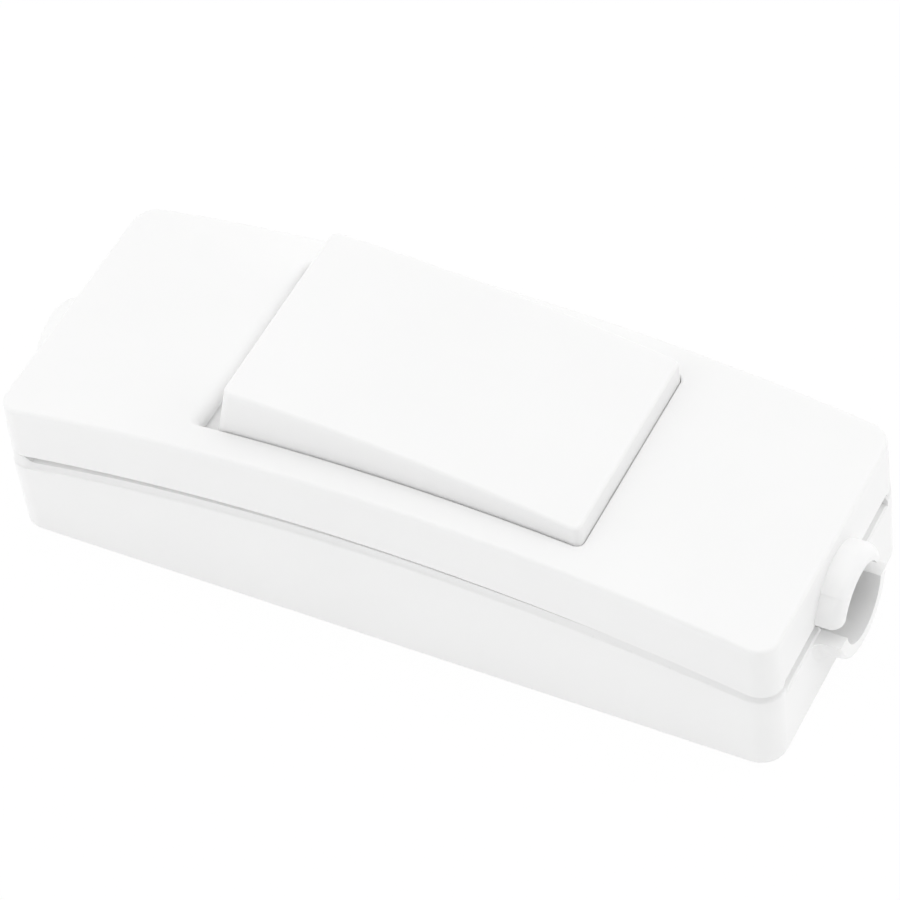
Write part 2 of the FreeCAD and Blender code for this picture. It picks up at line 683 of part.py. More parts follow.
def rocker_hollow():
    """The space under the rocker's top, inside its skirt."""
    half_top = ROCKER_TOP_LENGTH / 2 - ROCKER_WALL
    end_top = arch_height(ROCKER_CROWN - ROCKER_TOP, half_top)
    half_foot = half_top + (end_top - ROCKER_SKIRT) * LEAN_TAN
    inner_y = ROCKER_WIDTH / 2 - ROCKER_WALL
    arc = Part.Arc(
        V(-half_top, -inner_y, end_top),
        V(0, -inner_y, ROCKER_CROWN - ROCKER_TOP),
        V(half_top, -inner_y, end_top),
    ).toShape()
    low = ROCKER_SKIRT - PAST
    sides = [
        Part.makeLine(V(half_top, -inner_y, end_top), V(half_foot, -inner_y, low)),
        Part.makeLine(V(half_foot, -inner_y, low), V(-half_foot, -inner_y, low)),
        Part.makeLine(V(-half_foot, -inner_y, low), V(-half_top, -inner_y, end_top)),
    ]
    return Part.Face(Part.Wire([arc] + sides)).extrude(V(0, 2 * inner_y, 0))


def rocker_flange():
    """The thin rim round the skirt's foot that keeps dust out of the opening."""
    end_top = arch_height(ROCKER_CROWN, ROCKER_TOP_LENGTH / 2)
    half_foot = ROCKER_TOP_LENGTH / 2 + (end_top - ROCKER_SKIRT) * LEAN_TAN
    outer = (half_foot + FLANGE_END, ROCKER_WIDTH / 2 + FLANGE_SIDE)
    top = ROCKER_SKIRT + FLANGE_THICKNESS
    inner = inset_half((half_foot, ROCKER_WIDTH / 2), ROCKER_WALL / 2)
    ring = rounded_block(outer, ROCKER_CORNER + FLANGE_SIDE, ROCKER_SKIRT, top)
    ring = ring.cut(rounded_block(inner, ROCKER_CORNER, 0, ROCKER_CROWN))
    for side in (-1, 1):
        y0, y1 = sorted((side * ROCKER_WIDTH / 2, side * REACH))
        ring = ring.cut(box(-FLANGE_NOTCH, FLANGE_NOTCH, y0, y1, 0, ROCKER_CROWN))
    return ring


def trunnion_arms():
    """Arms that carry the trunnions below the rocker's side walls."""
    arms = []
    for side in (-1, 1):
        outer = side * ROCKER_WIDTH / 2
        inner = side * (ROCKER_WIDTH / 2 - ROCKER_WALL)
        y0, y1 = sorted((inner, outer))
        arms.append(box(-ARM_RADIUS, ARM_RADIUS, y0, y1, 0, ROCKER_SKIRT + PAST))
        arms.append(lying(ARM_RADIUS, V(0, y0, 0), y1 - y0, Y_AXIS))
        p0, p1 = sorted((outer, side * (ROCKER_WIDTH / 2 + TRUNNION_LENGTH)))
        arms.append(lying(TRUNNION_RADIUS, V(0, p0, 0), p1 - p0, Y_AXIS))
    return arms


def bridge_underside():
    """Height of the bridges' undersides in the rocker's frame, set by the fixed contacts."""
    contact_top = TERMINAL_FOOT + STRIP_THICKNESS + CONTACT_HEIGHT
    tip = (contact_top + CONTACT_GAP - ROCKER_AXIS_Z + BRIDGE_X * TILT_SIN) / TILT_COS
    return tip + CONTACT_HEIGHT


def bridge_cage(side):
    """A square tube that guides one contact bridge, with a spring peg and a stirrup under it."""
    y = side * POLE_Y
    half_x = BRIDGE_WIDTH / 2 + BRIDGE_FIT
    half_y = BRIDGE_LENGTH / 2 + BRIDGE_FIT
    top = ROCKER_CROWN - ROCKER_TOP
    x0, x1 = BRIDGE_X - half_x - RIB, BRIDGE_X + half_x + RIB
    stop = bridge_underside() - BRIDGE_TRAVEL - BRIDGE_STOP_GAP
    foot = stop + CAGE_WINDOW
    outer = flat_bar(x0, x1, y, 2 * (half_y + RIB), foot, top)
    stirrup = flat_bar(x0, x1, y, 2 * STIRRUP_HALF_WIDTH, stop - RIB, foot)
    inner = box(BRIDGE_X - half_x, BRIDGE_X + half_x, y - half_y, y + half_y, stop, CAGE_CEILING)
    peg = post(PEG_RADIUS, BRIDGE_X, y, CAGE_CEILING - PEG_LENGTH, CAGE_CEILING + RIB)
    return outer.fuse(stirrup).cut(inner).fuse(peg)


def make_rocker():
    """The rocker, one moulding with its skirt, arms, trunnions, sleeve and cages."""
    body = rocker_outside().cut(rocker_hollow())
    top = ROCKER_CROWN - ROCKER_TOP / 2
    sleeve = post(SLEEVE_RADIUS, 0, 0, -SLEEVE_FOOT, top)
    sleeve = sleeve.cut(post(PLUNGER_RADIUS + PLUNGER_FIT, 0, 0, -SLEEVE_FOOT - PAST, CLICK_CEILING))
    cages = [bridge_cage(-1), bridge_cage(1)]
    body = body.multiFuse(trunnion_arms() + [sleeve, rocker_flange()] + cages).removeSplitter()
    return place_rocker(body)


def make_plunger():
    """The round-nosed plunger that clicks over the ridge."""
    nose_z = -PLUNGER_TIP + PLUNGER_RADIUS
    nose = Part.makeSphere(PLUNGER_RADIUS, V(0, 0, nose_z))
    stem = post(PLUNGER_RADIUS, 0, 0, nose_z, PLUNGER_TOP)
    peg = post(PEG_RADIUS, 0, 0, PLUNGER_TOP, PLUNGER_TOP + PEG_LENGTH)
    return place_rocker(nose.fuse(stem).fuse(peg).removeSplitter())


def make_spring(x, y, z0, z1, turns):
    """A compression spring between two heights of the rocker's frame, its wire many-sided."""
    radius = SPRING_WIRE / 2
    height = z1 - z0 - SPRING_WIRE
    helix = Part.makeHelix(height / turns, height, SPRING_COIL_RADIUS)
    corners = []
    for i in range(SPRING_WIRE_SIDES + 1):
        angle = 2 * math.pi * (i % SPRING_WIRE_SIDES) / SPRING_WIRE_SIDES
        corners.append(V(SPRING_COIL_RADIUS + radius * math.cos(angle), 0, radius * math.sin(angle)))
    section = Part.makePolygon(corners)
    coil = Part.Wire(helix).makePipeShell([section], True, True)
    coil.translate(V(x, y, z0 + radius))
    return place_rocker(coil)


def bridge_plate(side):
    """One pole's bridging plate."""
    y = side * POLE_Y
    half_x, half_y = BRIDGE_WIDTH / 2, BRIDGE_LENGTH / 2
    underside = bridge_underside()
    top = underside + BRIDGE_THICKNESS
    plate = box(BRIDGE_X - half_x, BRIDGE_X + half_x, y - half_y, y + half_y, underside, top)
    peg = post(PEG_RADIUS, BRIDGE_X, y, top, top + BRIDGE_THICKNESS)
    return place_rocker(plate.fuse(peg).removeSplitter())


def contact_button(x, y, z, direction):
    """A domed contact rivet's head that stands up or down from z."""
    dome_rise = CONTACT_HEIGHT / 3
    flat = CONTACT_HEIGHT - dome_rise
    radius = (CONTACT_RADIUS**2 + dome_rise**2) / (2 * dome_rise)
    drum = Part.makeCylinder(CONTACT_RADIUS, CONTACT_HEIGHT, V(x, y, z), V(0, 0, direction))
    ball = Part.makeSphere(radius, V(x, y, z + direction * (flat + dome_rise - radius)))
    return drum.common(ball)


def contact_rows(side):
    """Y places of one pole's two contacts."""
    return [side * (POLE_Y - CONTACT_PITCH / 2), side * (POLE_Y + CONTACT_PITCH / 2)]


def make_bridge_contacts(side):
    """The two contact rivets under one bridge."""
    heads = [contact_button(BRIDGE_X, y, bridge_underside(), -1) for y in contact_rows(side)]
    return place_rocker(Part.makeCompound(heads))


def fixed_contact_x():
    """X of the fixed contacts, under the bridges' contacts when the rocker is pressed."""
    tip = bridge_underside() - CONTACT_HEIGHT
    return ROCKER_AXIS_X + BRIDGE_X * TILT_COS + tip * TILT_SIN


def make_fixed_contacts():
    """The four contact rivets on the brass strips."""
    heads = []
    for side in (-1, 1):
        for y in contact_rows(side):
            heads.append(contact_button(fixed_contact_x(), y, TERMINAL_FOOT + STRIP_THICKNESS, 1))
    return Part.makeCompound(heads)


def terminal_block(x, y, length):
    """A brass pillar with a hole for the wire along it."""
    half_length, half_width = length / 2, TERMINAL_WIDTH / 2
    top = TERMINAL_FOOT + TERMINAL_HEIGHT
    block = box(x - half_length, x + half_length, y - half_width, y + half_width, TERMINAL_FOOT, top)
    wire = V(x - length, y, TERMINAL_FOOT + WIRE_HOLE_HEIGHT)
    return block.cut(lying(WIRE_HOLE_RADIUS, wire, 2 * length))


def screw_hole(x, y):
    """The tapped hole from a pillar's top down into its wire hole."""
    low = TERMINAL_FOOT + WIRE_HOLE_HEIGHT
    return post(TERMINAL_SCREW_RADIUS + SCREW_FIT, x, y, low, low + TERMINAL_HEIGHT)


def make_in_terminal(side):
    """A left-hand terminal: its strip runs straight to the outer contact."""
    x, y = -TERMINAL_X, side * TERMINAL_Y
    strip_end = fixed_contact_x() + STRIP_WIDTH / 2
    strip = flat_bar(x, strip_end, y, STRIP_WIDTH, TERMINAL_FOOT, TERMINAL_FOOT + STRIP_THICKNESS)
    block = terminal_block(x, y, TERMINAL_LENGTH).cut(screw_hole(x, y))
    return block.fuse(strip).removeSplitter()


def make_out_terminal(side):
    """A right-hand terminal: its strip turns in to the inner contact."""
    x, y = TERMINAL_X, side * TERMINAL_Y
    half_strip = STRIP_WIDTH / 2
    contact_x = fixed_contact_x()
    inner_y = side * (POLE_Y - CONTACT_PITCH / 2)
    top = TERMINAL_FOOT + STRIP_THICKNESS
    along = flat_bar(contact_x - half_strip, STRIP_CORNER_X, inner_y, STRIP_WIDTH, TERMINAL_FOOT, top)
    y0, y1 = sorted((inner_y - side * half_strip, y + side * half_strip))
    across = box(STRIP_CORNER_X - STRIP_WIDTH, STRIP_CORNER_X, y0, y1, TERMINAL_FOOT, top)
    out = flat_bar(STRIP_CORNER_X - half_strip, x, y, STRIP_WIDTH, TERMINAL_FOOT, top)
    block = terminal_block(x, y, TERMINAL_LENGTH).cut(screw_hole(x, y))
    return block.multiFuse([along, across, out]).removeSplitter()


def earth_screw_places():
    """Where the earth terminal's two screws stand."""
    return [(EARTH_X - EARTH_SCREW_PITCH / 2, 0), (EARTH_X + EARTH_SCREW_PITCH / 2, 0)]


def make_earth_terminal():
    """The through-terminal that joins the two earth wires."""
    block = terminal_block(EARTH_X, 0, EARTH_LENGTH)
    for x, y in earth_screw_places():
        block = block.cut(screw_hole(x, y))
    return block.removeSplitter()


def slotted_screw(place, seat, head, radius, length):
    """A cheese-head screw that points down; head is its (radius, height), which sits on the height seat."""
    x, y = place
    head_radius, head_height = head
    top = seat + head_height
    cap = post(head_radius, x, y, seat, top)
    cap = cap.makeChamfer(SCREW_HEAD_BEVEL, top_face(cap).Edges)
    slot = flat_bar(x - head_radius, x + head_radius, y, 2 * radius / 3, top - head_height / 2, top)
    return cap.cut(slot).fuse(post(radius, x, y, seat - length, seat)).removeSplitter()


def terminal_screw(x, y):
    """One terminal screw, its tip just inside the wire hole."""
    seat = TERMINAL_FOOT + TERMINAL_HEIGHT
    length = TERMINAL_HEIGHT - WIRE_HOLE_HEIGHT - WIRE_HOLE_RADIUS + TERMINAL_SCREW_BITE
    head = (TERMINAL_HEAD_RADIUS, TERMINAL_HEAD_HEIGHT)
    return slotted_screw((x, y), seat, head, TERMINAL_SCREW_RADIUS, length)


def make_clamp(side):
    """A strap that is screwed down over the cord."""
    x = side * CLAMP_X
    half = CLAMP_LENGTH / 2
    outer = CLAMP_RADIUS + CLAMP_THICKNESS
    ears = box(x - half, x + half, -CLAMP_EAR_Y, CLAMP_EAR_Y, CLAMP_SEAT_Z, CLAMP_SEAT_Z + CLAMP_THICKNESS)
    hump = lying(outer, V(x - half, 0, COLLAR_Z), CLAMP_LENGTH)
    hump = hump.common(box(-REACH, REACH, -REACH, REACH, CLAMP_SEAT_Z, REACH))
    strap = ears.fuse(hump).cut(lying(CLAMP_RADIUS, V(x - REACH / 2, 0, COLLAR_Z), REACH))
    for y in (-CLAMP_SCREW_Y, CLAMP_SCREW_Y):
        strap = strap.cut(post(CLAMP_SCREW_RADIUS + SCREW_FIT, x, y, 0, REACH))
    return strap.removeSplitter()


def clamp_screw(x, y):
    """One clamp screw, its head on the strap's ear."""
    seat = CLAMP_SEAT_Z + CLAMP_THICKNESS
    head = (CLAMP_HEAD_RADIUS, CLAMP_HEAD_HEIGHT)
    return slotted_screw((x, y), seat, head, CLAMP_SCREW_RADIUS, CLAMP_SCREW_LENGTH)


def housing_screw(x, y):
    """One housing screw, upside down in its recess."""
    head = (HOUSING_HEAD_RADIUS, HOUSING_HEAD_HEIGHT)
    screw = slotted_screw((x, y), 0, head, HOUSING_SCREW_RADIUS, HOUSING_SCREW_LENGTH)
    screw.rotate(V(x, y, 0), X_AXIS, 180)
    screw.translate(V(0, 0, HOUSING_RECESS))
    return screw


def make_pieces():
    """Every node by name."""
    ceiling = CAGE_CEILING - SPRING_SEAT_GAP
    bridge_top = bridge_underside() + BRIDGE_THICKNESS + SPRING_SEAT_GAP
    click_low = PLUNGER_TOP + SPRING_SEAT_GAP
    click_high = CLICK_CEILING - SPRING_SEAT_GAP
    pieces = {
        "base_shell": make_base(),
        "cover_shell": make_cover(),
        "rocker_button": make_rocker(),
        "click_plunger": make_plunger(),
        "click_spring": make_spring(0, 0, click_low, click_high, CLICK_SPRING_TURNS),
        "fixed_contacts": make_fixed_contacts(),
        "earth_terminal": make_earth_terminal(),
    }
    for name, side in (("live", 1), ("neutral", -1)):
        y = side * POLE_Y
        pieces[name + "_bridge"] = bridge_plate(side)
        pieces[name + "_bridge_contacts"] = make_bridge_contacts(side)
        spring = make_spring(BRIDGE_X, y, bridge_top, ceiling, CONTACT_SPRING_TURNS)
        pieces[name + "_bridge_spring"] = spring
        pieces[name + "_in_terminal"] = make_in_terminal(side)
        pieces[name + "_out_terminal"] = make_out_terminal(side)
    for name, side in (("left", -1), ("right", 1)):
        pieces[name + "_cord_clamp"] = make_clamp(side)
    groups = {
        "terminal_screws": [terminal_screw(x, y) for x, y in terminal_places()],
        "earth_screws": [terminal_screw(x, y) for x, y in earth_screw_places()],
        "clamp_screws": [clamp_screw(x, y) for x, y in clamp_screw_places()],
        "housing_screws": [housing_screw(x, y) for x, y in housing_screw_places()],
    }
    for name, solids in groups.items():
        pieces[name] = Part.makeCompound(solids)
    return pieces


os.makedirs("parts", exist_ok=True)
for node, shape in make_pieces().items():
    shape.exportStep("parts/" + node + ".step")
    print(node, "solids", len(shape.Solids), "volume", round(shape.Volume, 1), "valid", shape.isValid())
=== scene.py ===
"""Looks of the inline cord switch: finishes, dressed shells, springs, screws and the studio."""

import logging
import math
from collections.abc import Callable
from dataclasses import dataclass, field
from enum import Enum

import bmesh
import bpy
from mathutils import Matrix, Vector


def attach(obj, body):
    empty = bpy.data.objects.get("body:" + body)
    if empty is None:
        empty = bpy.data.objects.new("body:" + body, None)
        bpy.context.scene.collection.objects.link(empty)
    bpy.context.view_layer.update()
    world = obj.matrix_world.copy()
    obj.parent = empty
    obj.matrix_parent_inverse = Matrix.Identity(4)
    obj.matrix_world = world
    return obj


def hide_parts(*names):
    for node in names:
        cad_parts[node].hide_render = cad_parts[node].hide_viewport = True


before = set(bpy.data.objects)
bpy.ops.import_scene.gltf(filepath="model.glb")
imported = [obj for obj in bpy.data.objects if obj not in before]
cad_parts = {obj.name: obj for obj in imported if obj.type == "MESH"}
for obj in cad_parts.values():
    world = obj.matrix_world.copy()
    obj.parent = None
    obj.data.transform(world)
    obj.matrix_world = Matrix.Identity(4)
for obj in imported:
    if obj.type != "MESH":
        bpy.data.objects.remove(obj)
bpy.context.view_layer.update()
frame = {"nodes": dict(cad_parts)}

LOG = logging.getLogger("cord_switch")
MM = 0.001
Triple = tuple[float, float, float]
Socket = bpy.types.NodeSocket


class Body(Enum):
    """The moving groups of the switch."""

    CASE = "case"
    ROCKER = "rocker"
    PLUNGER = "plunger"
    LIVE_BRIDGE = "live_contact_bridge"
    NEUTRAL_BRIDGE = "neutral_contact_bridge"


class Slot(Enum):
    """The material slots of the record."""

    WHITE = "white_plastic"
    ACETAL = "acetal"
    BRASS = "brass"
    COPPER = "copper"
    SILVER = "silver"
    SPRING = "spring_steel"
    PLATED = "plated_steel"


Materials = dict[Slot, bpy.types.Material]


class TreeBuilder:
    """Adds nodes to a node tree, with their inputs linked or set."""

    def __init__(self, tree: bpy.types.NodeTree) -> None:
        """Take a tree.

        Args:
            tree: The tree to build in.
        """
        self.tree = tree

    def link(self, source: Socket, target: Socket) -> None:
        """Join two sockets."""
        self.tree.links.new(source, target)

    def node(self, kind: str, inputs: dict[str | int, object] | None = None, **settings: object) -> bpy.types.Node:
        """Add a node.

        Args:
            kind: The node's type name.
            inputs: Sockets or plain values by input name or number.
            **settings: Attribute values.

        Returns:
            The new node.
        """
        made = self.tree.nodes.new(kind)
        for key, setting in settings.items():
            setattr(made, key, setting)
        for key, given in (inputs or {}).items():
            if isinstance(given, Socket):
                self.link(given, made.inputs[key])
            else:
                made.inputs[key].default_value = given
        return made

    def math(self, operation: str, first: object, second: object = 0.0) -> Socket:
        """One arithmetic step.

        Args:
            operation: The math node's operation.
            first: Socket or number.
            second: Socket or number.

        Returns:
            The result.
        """
        return self.node("ShaderNodeMath", {0: first, 1: second}, operation=operation).outputs[0]


class MaterialBuilder(TreeBuilder):
    """Builds one material's shader tree."""

    MIDDLE = (0.3, 0.7)

    def __init__(self, name: str) -> None:
        """Start an empty material.

        Args:
            name: The material's name.
        """
        self.material = bpy.data.materials.new(name)
        self.material.use_nodes = True
        super().__init__(self.material.node_tree)
        self.tree.nodes.clear()
        self.output = self.node("ShaderNodeOutputMaterial")
        self.place = self.node("ShaderNodeTexCoord").outputs["Object"]

    def noise(self, scale: float, detail: float = 2.0, stretch: Triple = (1, 1, 1)) -> Socket:
        """A noise pattern in object space.

        Args:
            scale: Waves per metre, about.
            detail: Octaves of finer noise.
            stretch: Scale along each axis, for brushed or drawn grain.

        Returns:
            The noise's factor, 0 to 1.
        """
        mapping = self.node("ShaderNodeMapping", {"Vector": self.place, "Scale": stretch})
        inputs = {"Vector": mapping.outputs["Vector"], "Scale": scale, "Detail": detail}
        return self.node("ShaderNodeTexNoise", inputs).outputs["Fac"]

    def between(self, factor: Socket, low: float, high: float) -> Socket:
        """Spread a factor's middle over a range.

        Args:
            factor: A 0 to 1 pattern.
            low: Value at the middle's low end and below.
            high: Value at its high end and above.

        Returns:
            The mapped value.
        """
        first, last = self.MIDDLE
        inputs = {"Value": factor, "From Min": first, "From Max": last, "To Min": low, "To Max": high}
        return self.node("ShaderNodeMapRange", inputs).outputs["Result"]

    def colours(self, factor: Socket, low: Triple, high: Triple) -> Socket:
        """Blend two near colours by a pattern's middle.

        Args:
            factor: A 0 to 1 pattern.
            low: Colour at the middle's low end and below.
            high: Colour at its high end and above.

        Returns:
            The colour.
        """
        ramp = self.node("ShaderNodeValToRGB", {"Fac": factor})
        for element, position, colour in zip(ramp.color_ramp.elements, self.MIDDLE, (low, high)):
            element.position = position
            element.color = (*colour, 1)
        return ramp.outputs["Color"]

    def bump(
        self,
        height: Socket,
        distance: float,
        strength: float,
        under: Socket | None = None,
    ) -> Socket:
        """A bump layer.

        Args:
            height: The pattern that gives height.
            distance: Height of a full step, in metres.
            strength: 0 to 1.
            under: Normal of the layer below, if any.

        Returns:
            The normal.
        """
        bump = self.node("ShaderNodeBump", {"Distance": distance, "Strength": strength, "Height": height})
        if under is not None:
            self.link(under, bump.inputs["Normal"])
        return bump.outputs["Normal"]

    def surface(self, metallic: float, ior: float) -> bpy.types.Node:
        """The main shader, joined to the output.

        Args:
            metallic: 0 or 1.
            ior: Index of refraction.

        Returns:
            The shader node.
        """
        shader = self.node("ShaderNodeBsdfPrincipled", {"Metallic": metallic, "IOR": ior})
        self.link(shader.outputs["BSDF"], self.output.inputs["Surface"])
        return shader


@dataclass(frozen=True)
class MouldedPlastic:
    """A moulded thermoplastic with a faint spark-eroded grain."""

    name: str
    low: Triple
    high: Triple
    roughness: tuple[float, float] = (0.36, 0.44)
    grain_scale: float = 5200.0
    grain_height: float = 0.012 * MM
    wave_scale: float = 45.0
    wave_height: float = 0.05 * MM
    wave_strength: float = 0.25
    grain_strength: float = 0.35
    tint_scale: float = 60.0
    gloss_scale: float = 900.0
    detail: float = 3.0
    ior: float = 1.5
    depth: float = 1.0 * MM
    depth_share: float = 0.12
    depth_reach: Triple = (1.0, 1.0, 0.95)

    def build(self) -> bpy.types.Material:
        """Make the material.

        Returns:
            The material.
        """
        nodes = MaterialBuilder(self.name)
        shader = nodes.surface(0.0, self.ior)
        tint = nodes.colours(nodes.noise(self.tint_scale, self.detail), self.low, self.high)
        nodes.link(tint, shader.inputs["Base Color"])
        gloss = nodes.between(nodes.noise(self.gloss_scale, self.detail), *self.roughness)
        nodes.link(gloss, shader.inputs["Roughness"])
        wave = nodes.bump(nodes.noise(self.wave_scale, 1.0), self.wave_height, self.wave_strength)
        grain = nodes.bump(nodes.noise(self.grain_scale), self.grain_height, self.grain_strength, wave)
        nodes.link(grain, shader.inputs["Normal"])
        shader.inputs["Subsurface Weight"].default_value = self.depth_share
        shader.inputs["Subsurface Radius"].default_value = self.depth_reach
        shader.inputs["Subsurface Scale"].default_value = self.depth
        return nodes.material


@dataclass(frozen=True)
class WorkedMetal:
    """A metal with tool marks drawn along one axis."""

    name: str
    low: Triple
    high: Triple
    roughness: tuple[float, float] = (0.22, 0.36)
    stretch: Triple = (0.08, 1.0, 1.0)
    mark_scale: float = 6000.0
    mark_height: float = 0.006 * MM
    mark_strength: float = 0.4
    mark_detail: float = 3.0
    tint_scale: float = 300.0
    tint_detail: float = 4.0
    ior: float = 1.45

    def build(self) -> bpy.types.Material:
        """Make the material.

        Returns:
            The material.
        """
        nodes = MaterialBuilder(self.name)
        shader = nodes.surface(1.0, self.ior)
        tint = nodes.colours(nodes.noise(self.tint_scale, self.tint_detail), self.low, self.high)
        nodes.link(tint, shader.inputs["Base Color"])
        marks = nodes.noise(self.mark_scale, self.mark_detail, self.stretch)
        nodes.link(nodes.between(marks, *self.roughness), shader.inputs["Roughness"])
        nodes.link(nodes.bump(marks, self.mark_height, self.mark_strength), shader.inputs["Normal"])
        return nodes.material


@dataclass(frozen=True)
class Finishes:
    """Every finish of the switch, each named as its slot."""

    white: MouldedPlastic = MouldedPlastic(
        "white_thermoplastic", (0.93, 0.93, 0.928), (0.945, 0.945, 0.943)
    )
    acetal: MouldedPlastic = MouldedPlastic(
        "natural_acetal", (0.78, 0.77, 0.71), (0.84, 0.83, 0.78), roughness=(0.3, 0.4)
    )
    brass: WorkedMetal = WorkedMetal("turned_brass", (0.72, 0.52, 0.23), (0.82, 0.62, 0.32))
    copper: WorkedMetal = WorkedMetal(
        "stamped_copper", (0.74, 0.4, 0.25), (0.83, 0.5, 0.33), stretch=(1.0, 0.08, 1.0)
    )
    silver: WorkedMetal = WorkedMetal(
        "contact_silver", (0.82, 0.82, 0.8), (0.9, 0.9, 0.88), (0.12, 0.25), (1.0, 1.0, 1.0)
    )
    spring: WorkedMetal = WorkedMetal(
        "drawn_spring_wire", (0.45, 0.45, 0.46), (0.58, 0.58, 0.59), (0.25, 0.4), (1.0, 1.0, 1.0)
    )
    plated: WorkedMetal = WorkedMetal(
        "zinc_plate", (0.66, 0.67, 0.68), (0.76, 0.77, 0.77), (0.25, 0.42), (1.0, 1.0, 0.3)
    )

    def build(self) -> Materials:
        """Make every material.

        Returns:
            The materials by slot.
        """
        return {slot: getattr(self, slot.name.lower()).build() for slot in Slot}


def add(name: str, data: bpy.types.ID) -> bpy.types.Object:
    """Put new data into the scene.

    Args:
        name: The object's name.
        data: Its mesh, lamp or camera.

    Returns:
        The new object.
    """
    made = bpy.data.objects.new(name, data)
    bpy.context.scene.collection.objects.link(made)
    return made


def dress(piece: bpy.types.Object, material: bpy.types.Material) -> None:
    """Give a piece one material all over.

    Args:
        piece: The object to dress.
        material: Its finish.
    """
    piece.data.materials.clear()
    piece.data.materials.append(material)


def seat(piece: bpy.types.Object, body: Body, slot: Slot, nodes: list[str]) -> bpy.types.Object:
    """Hang a finished piece on its body's empty and hide the CAD nodes that it stands for.

    Args:
        piece: A finished object at the origin.
        body: The group that it moves with.
        slot: The record's slot of its finish; not used.
        nodes: The CAD nodes that it stands for.

    Returns:
        The piece.
    """
    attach(piece, body.value)
    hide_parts(*nodes)
    LOG.info("%s rides on %s", piece.name, body.value)
    return piece


@dataclass(frozen=True)
class SmoothSkin:
    """A merged copy of a CAD node with true smooth shading over its rounds."""

    merge: float = 0.002 * MM
    crease_degrees: float = 28.0
    round_segments: int = 2
    face_weight: int = 100

    def copy(self, node: str, name: str) -> bpy.types.Object:
        """Copy a node's mesh, close it and shade its rounds smoothly.

        Args:
            node: The CAD node.
            name: The new piece's name.

        Returns:
            The new object.
        """
        source = frame["nodes"][node]
        mesh = source.data.copy()
        mesh.name = name
        mesh.materials.clear()
        self.shade(mesh)
        return add(name, mesh)

    def shade(self, mesh: bpy.types.Mesh) -> None:
        """Join a mesh's faces and mark its real edges as sharp.

        Args:
            mesh: The mesh to change.
        """
        bm = bmesh.new()
        bm.from_mesh(mesh)
        bmesh.ops.remove_doubles(bm, verts=bm.verts, dist=self.merge)
        limit = math.radians(self.crease_degrees)
        for edge in bm.edges:
            edge.smooth = edge.calc_face_angle(math.pi) < limit
        for face in bm.faces:
            face.smooth = True
        bm.to_mesh(mesh)
        bm.free()

    def soften(self, piece: bpy.types.Object, width: float) -> None:
        """Round the real edges a little, as tumbling leaves them.

        Args:
            piece: The piece.
            width: Size of the rounding, in metres.
        """
        rounded = piece.modifiers.new("worn_edges", "BEVEL")
        rounded.width = width
        rounded.segments = self.round_segments
        rounded.limit_method = "ANGLE"
        rounded.angle_limit = math.radians(self.crease_degrees)
        rounded.use_clamp_overlap = True

    def weigh(self, piece: bpy.types.Object) -> None:
        """Let the flat faces rule the shading of their rounded borders."""
        weighted = piece.modifiers.new("face_weighted_shading", "WEIGHTED_NORMAL")
        weighted.keep_sharp = True
        weighted.weight = self.face_weight


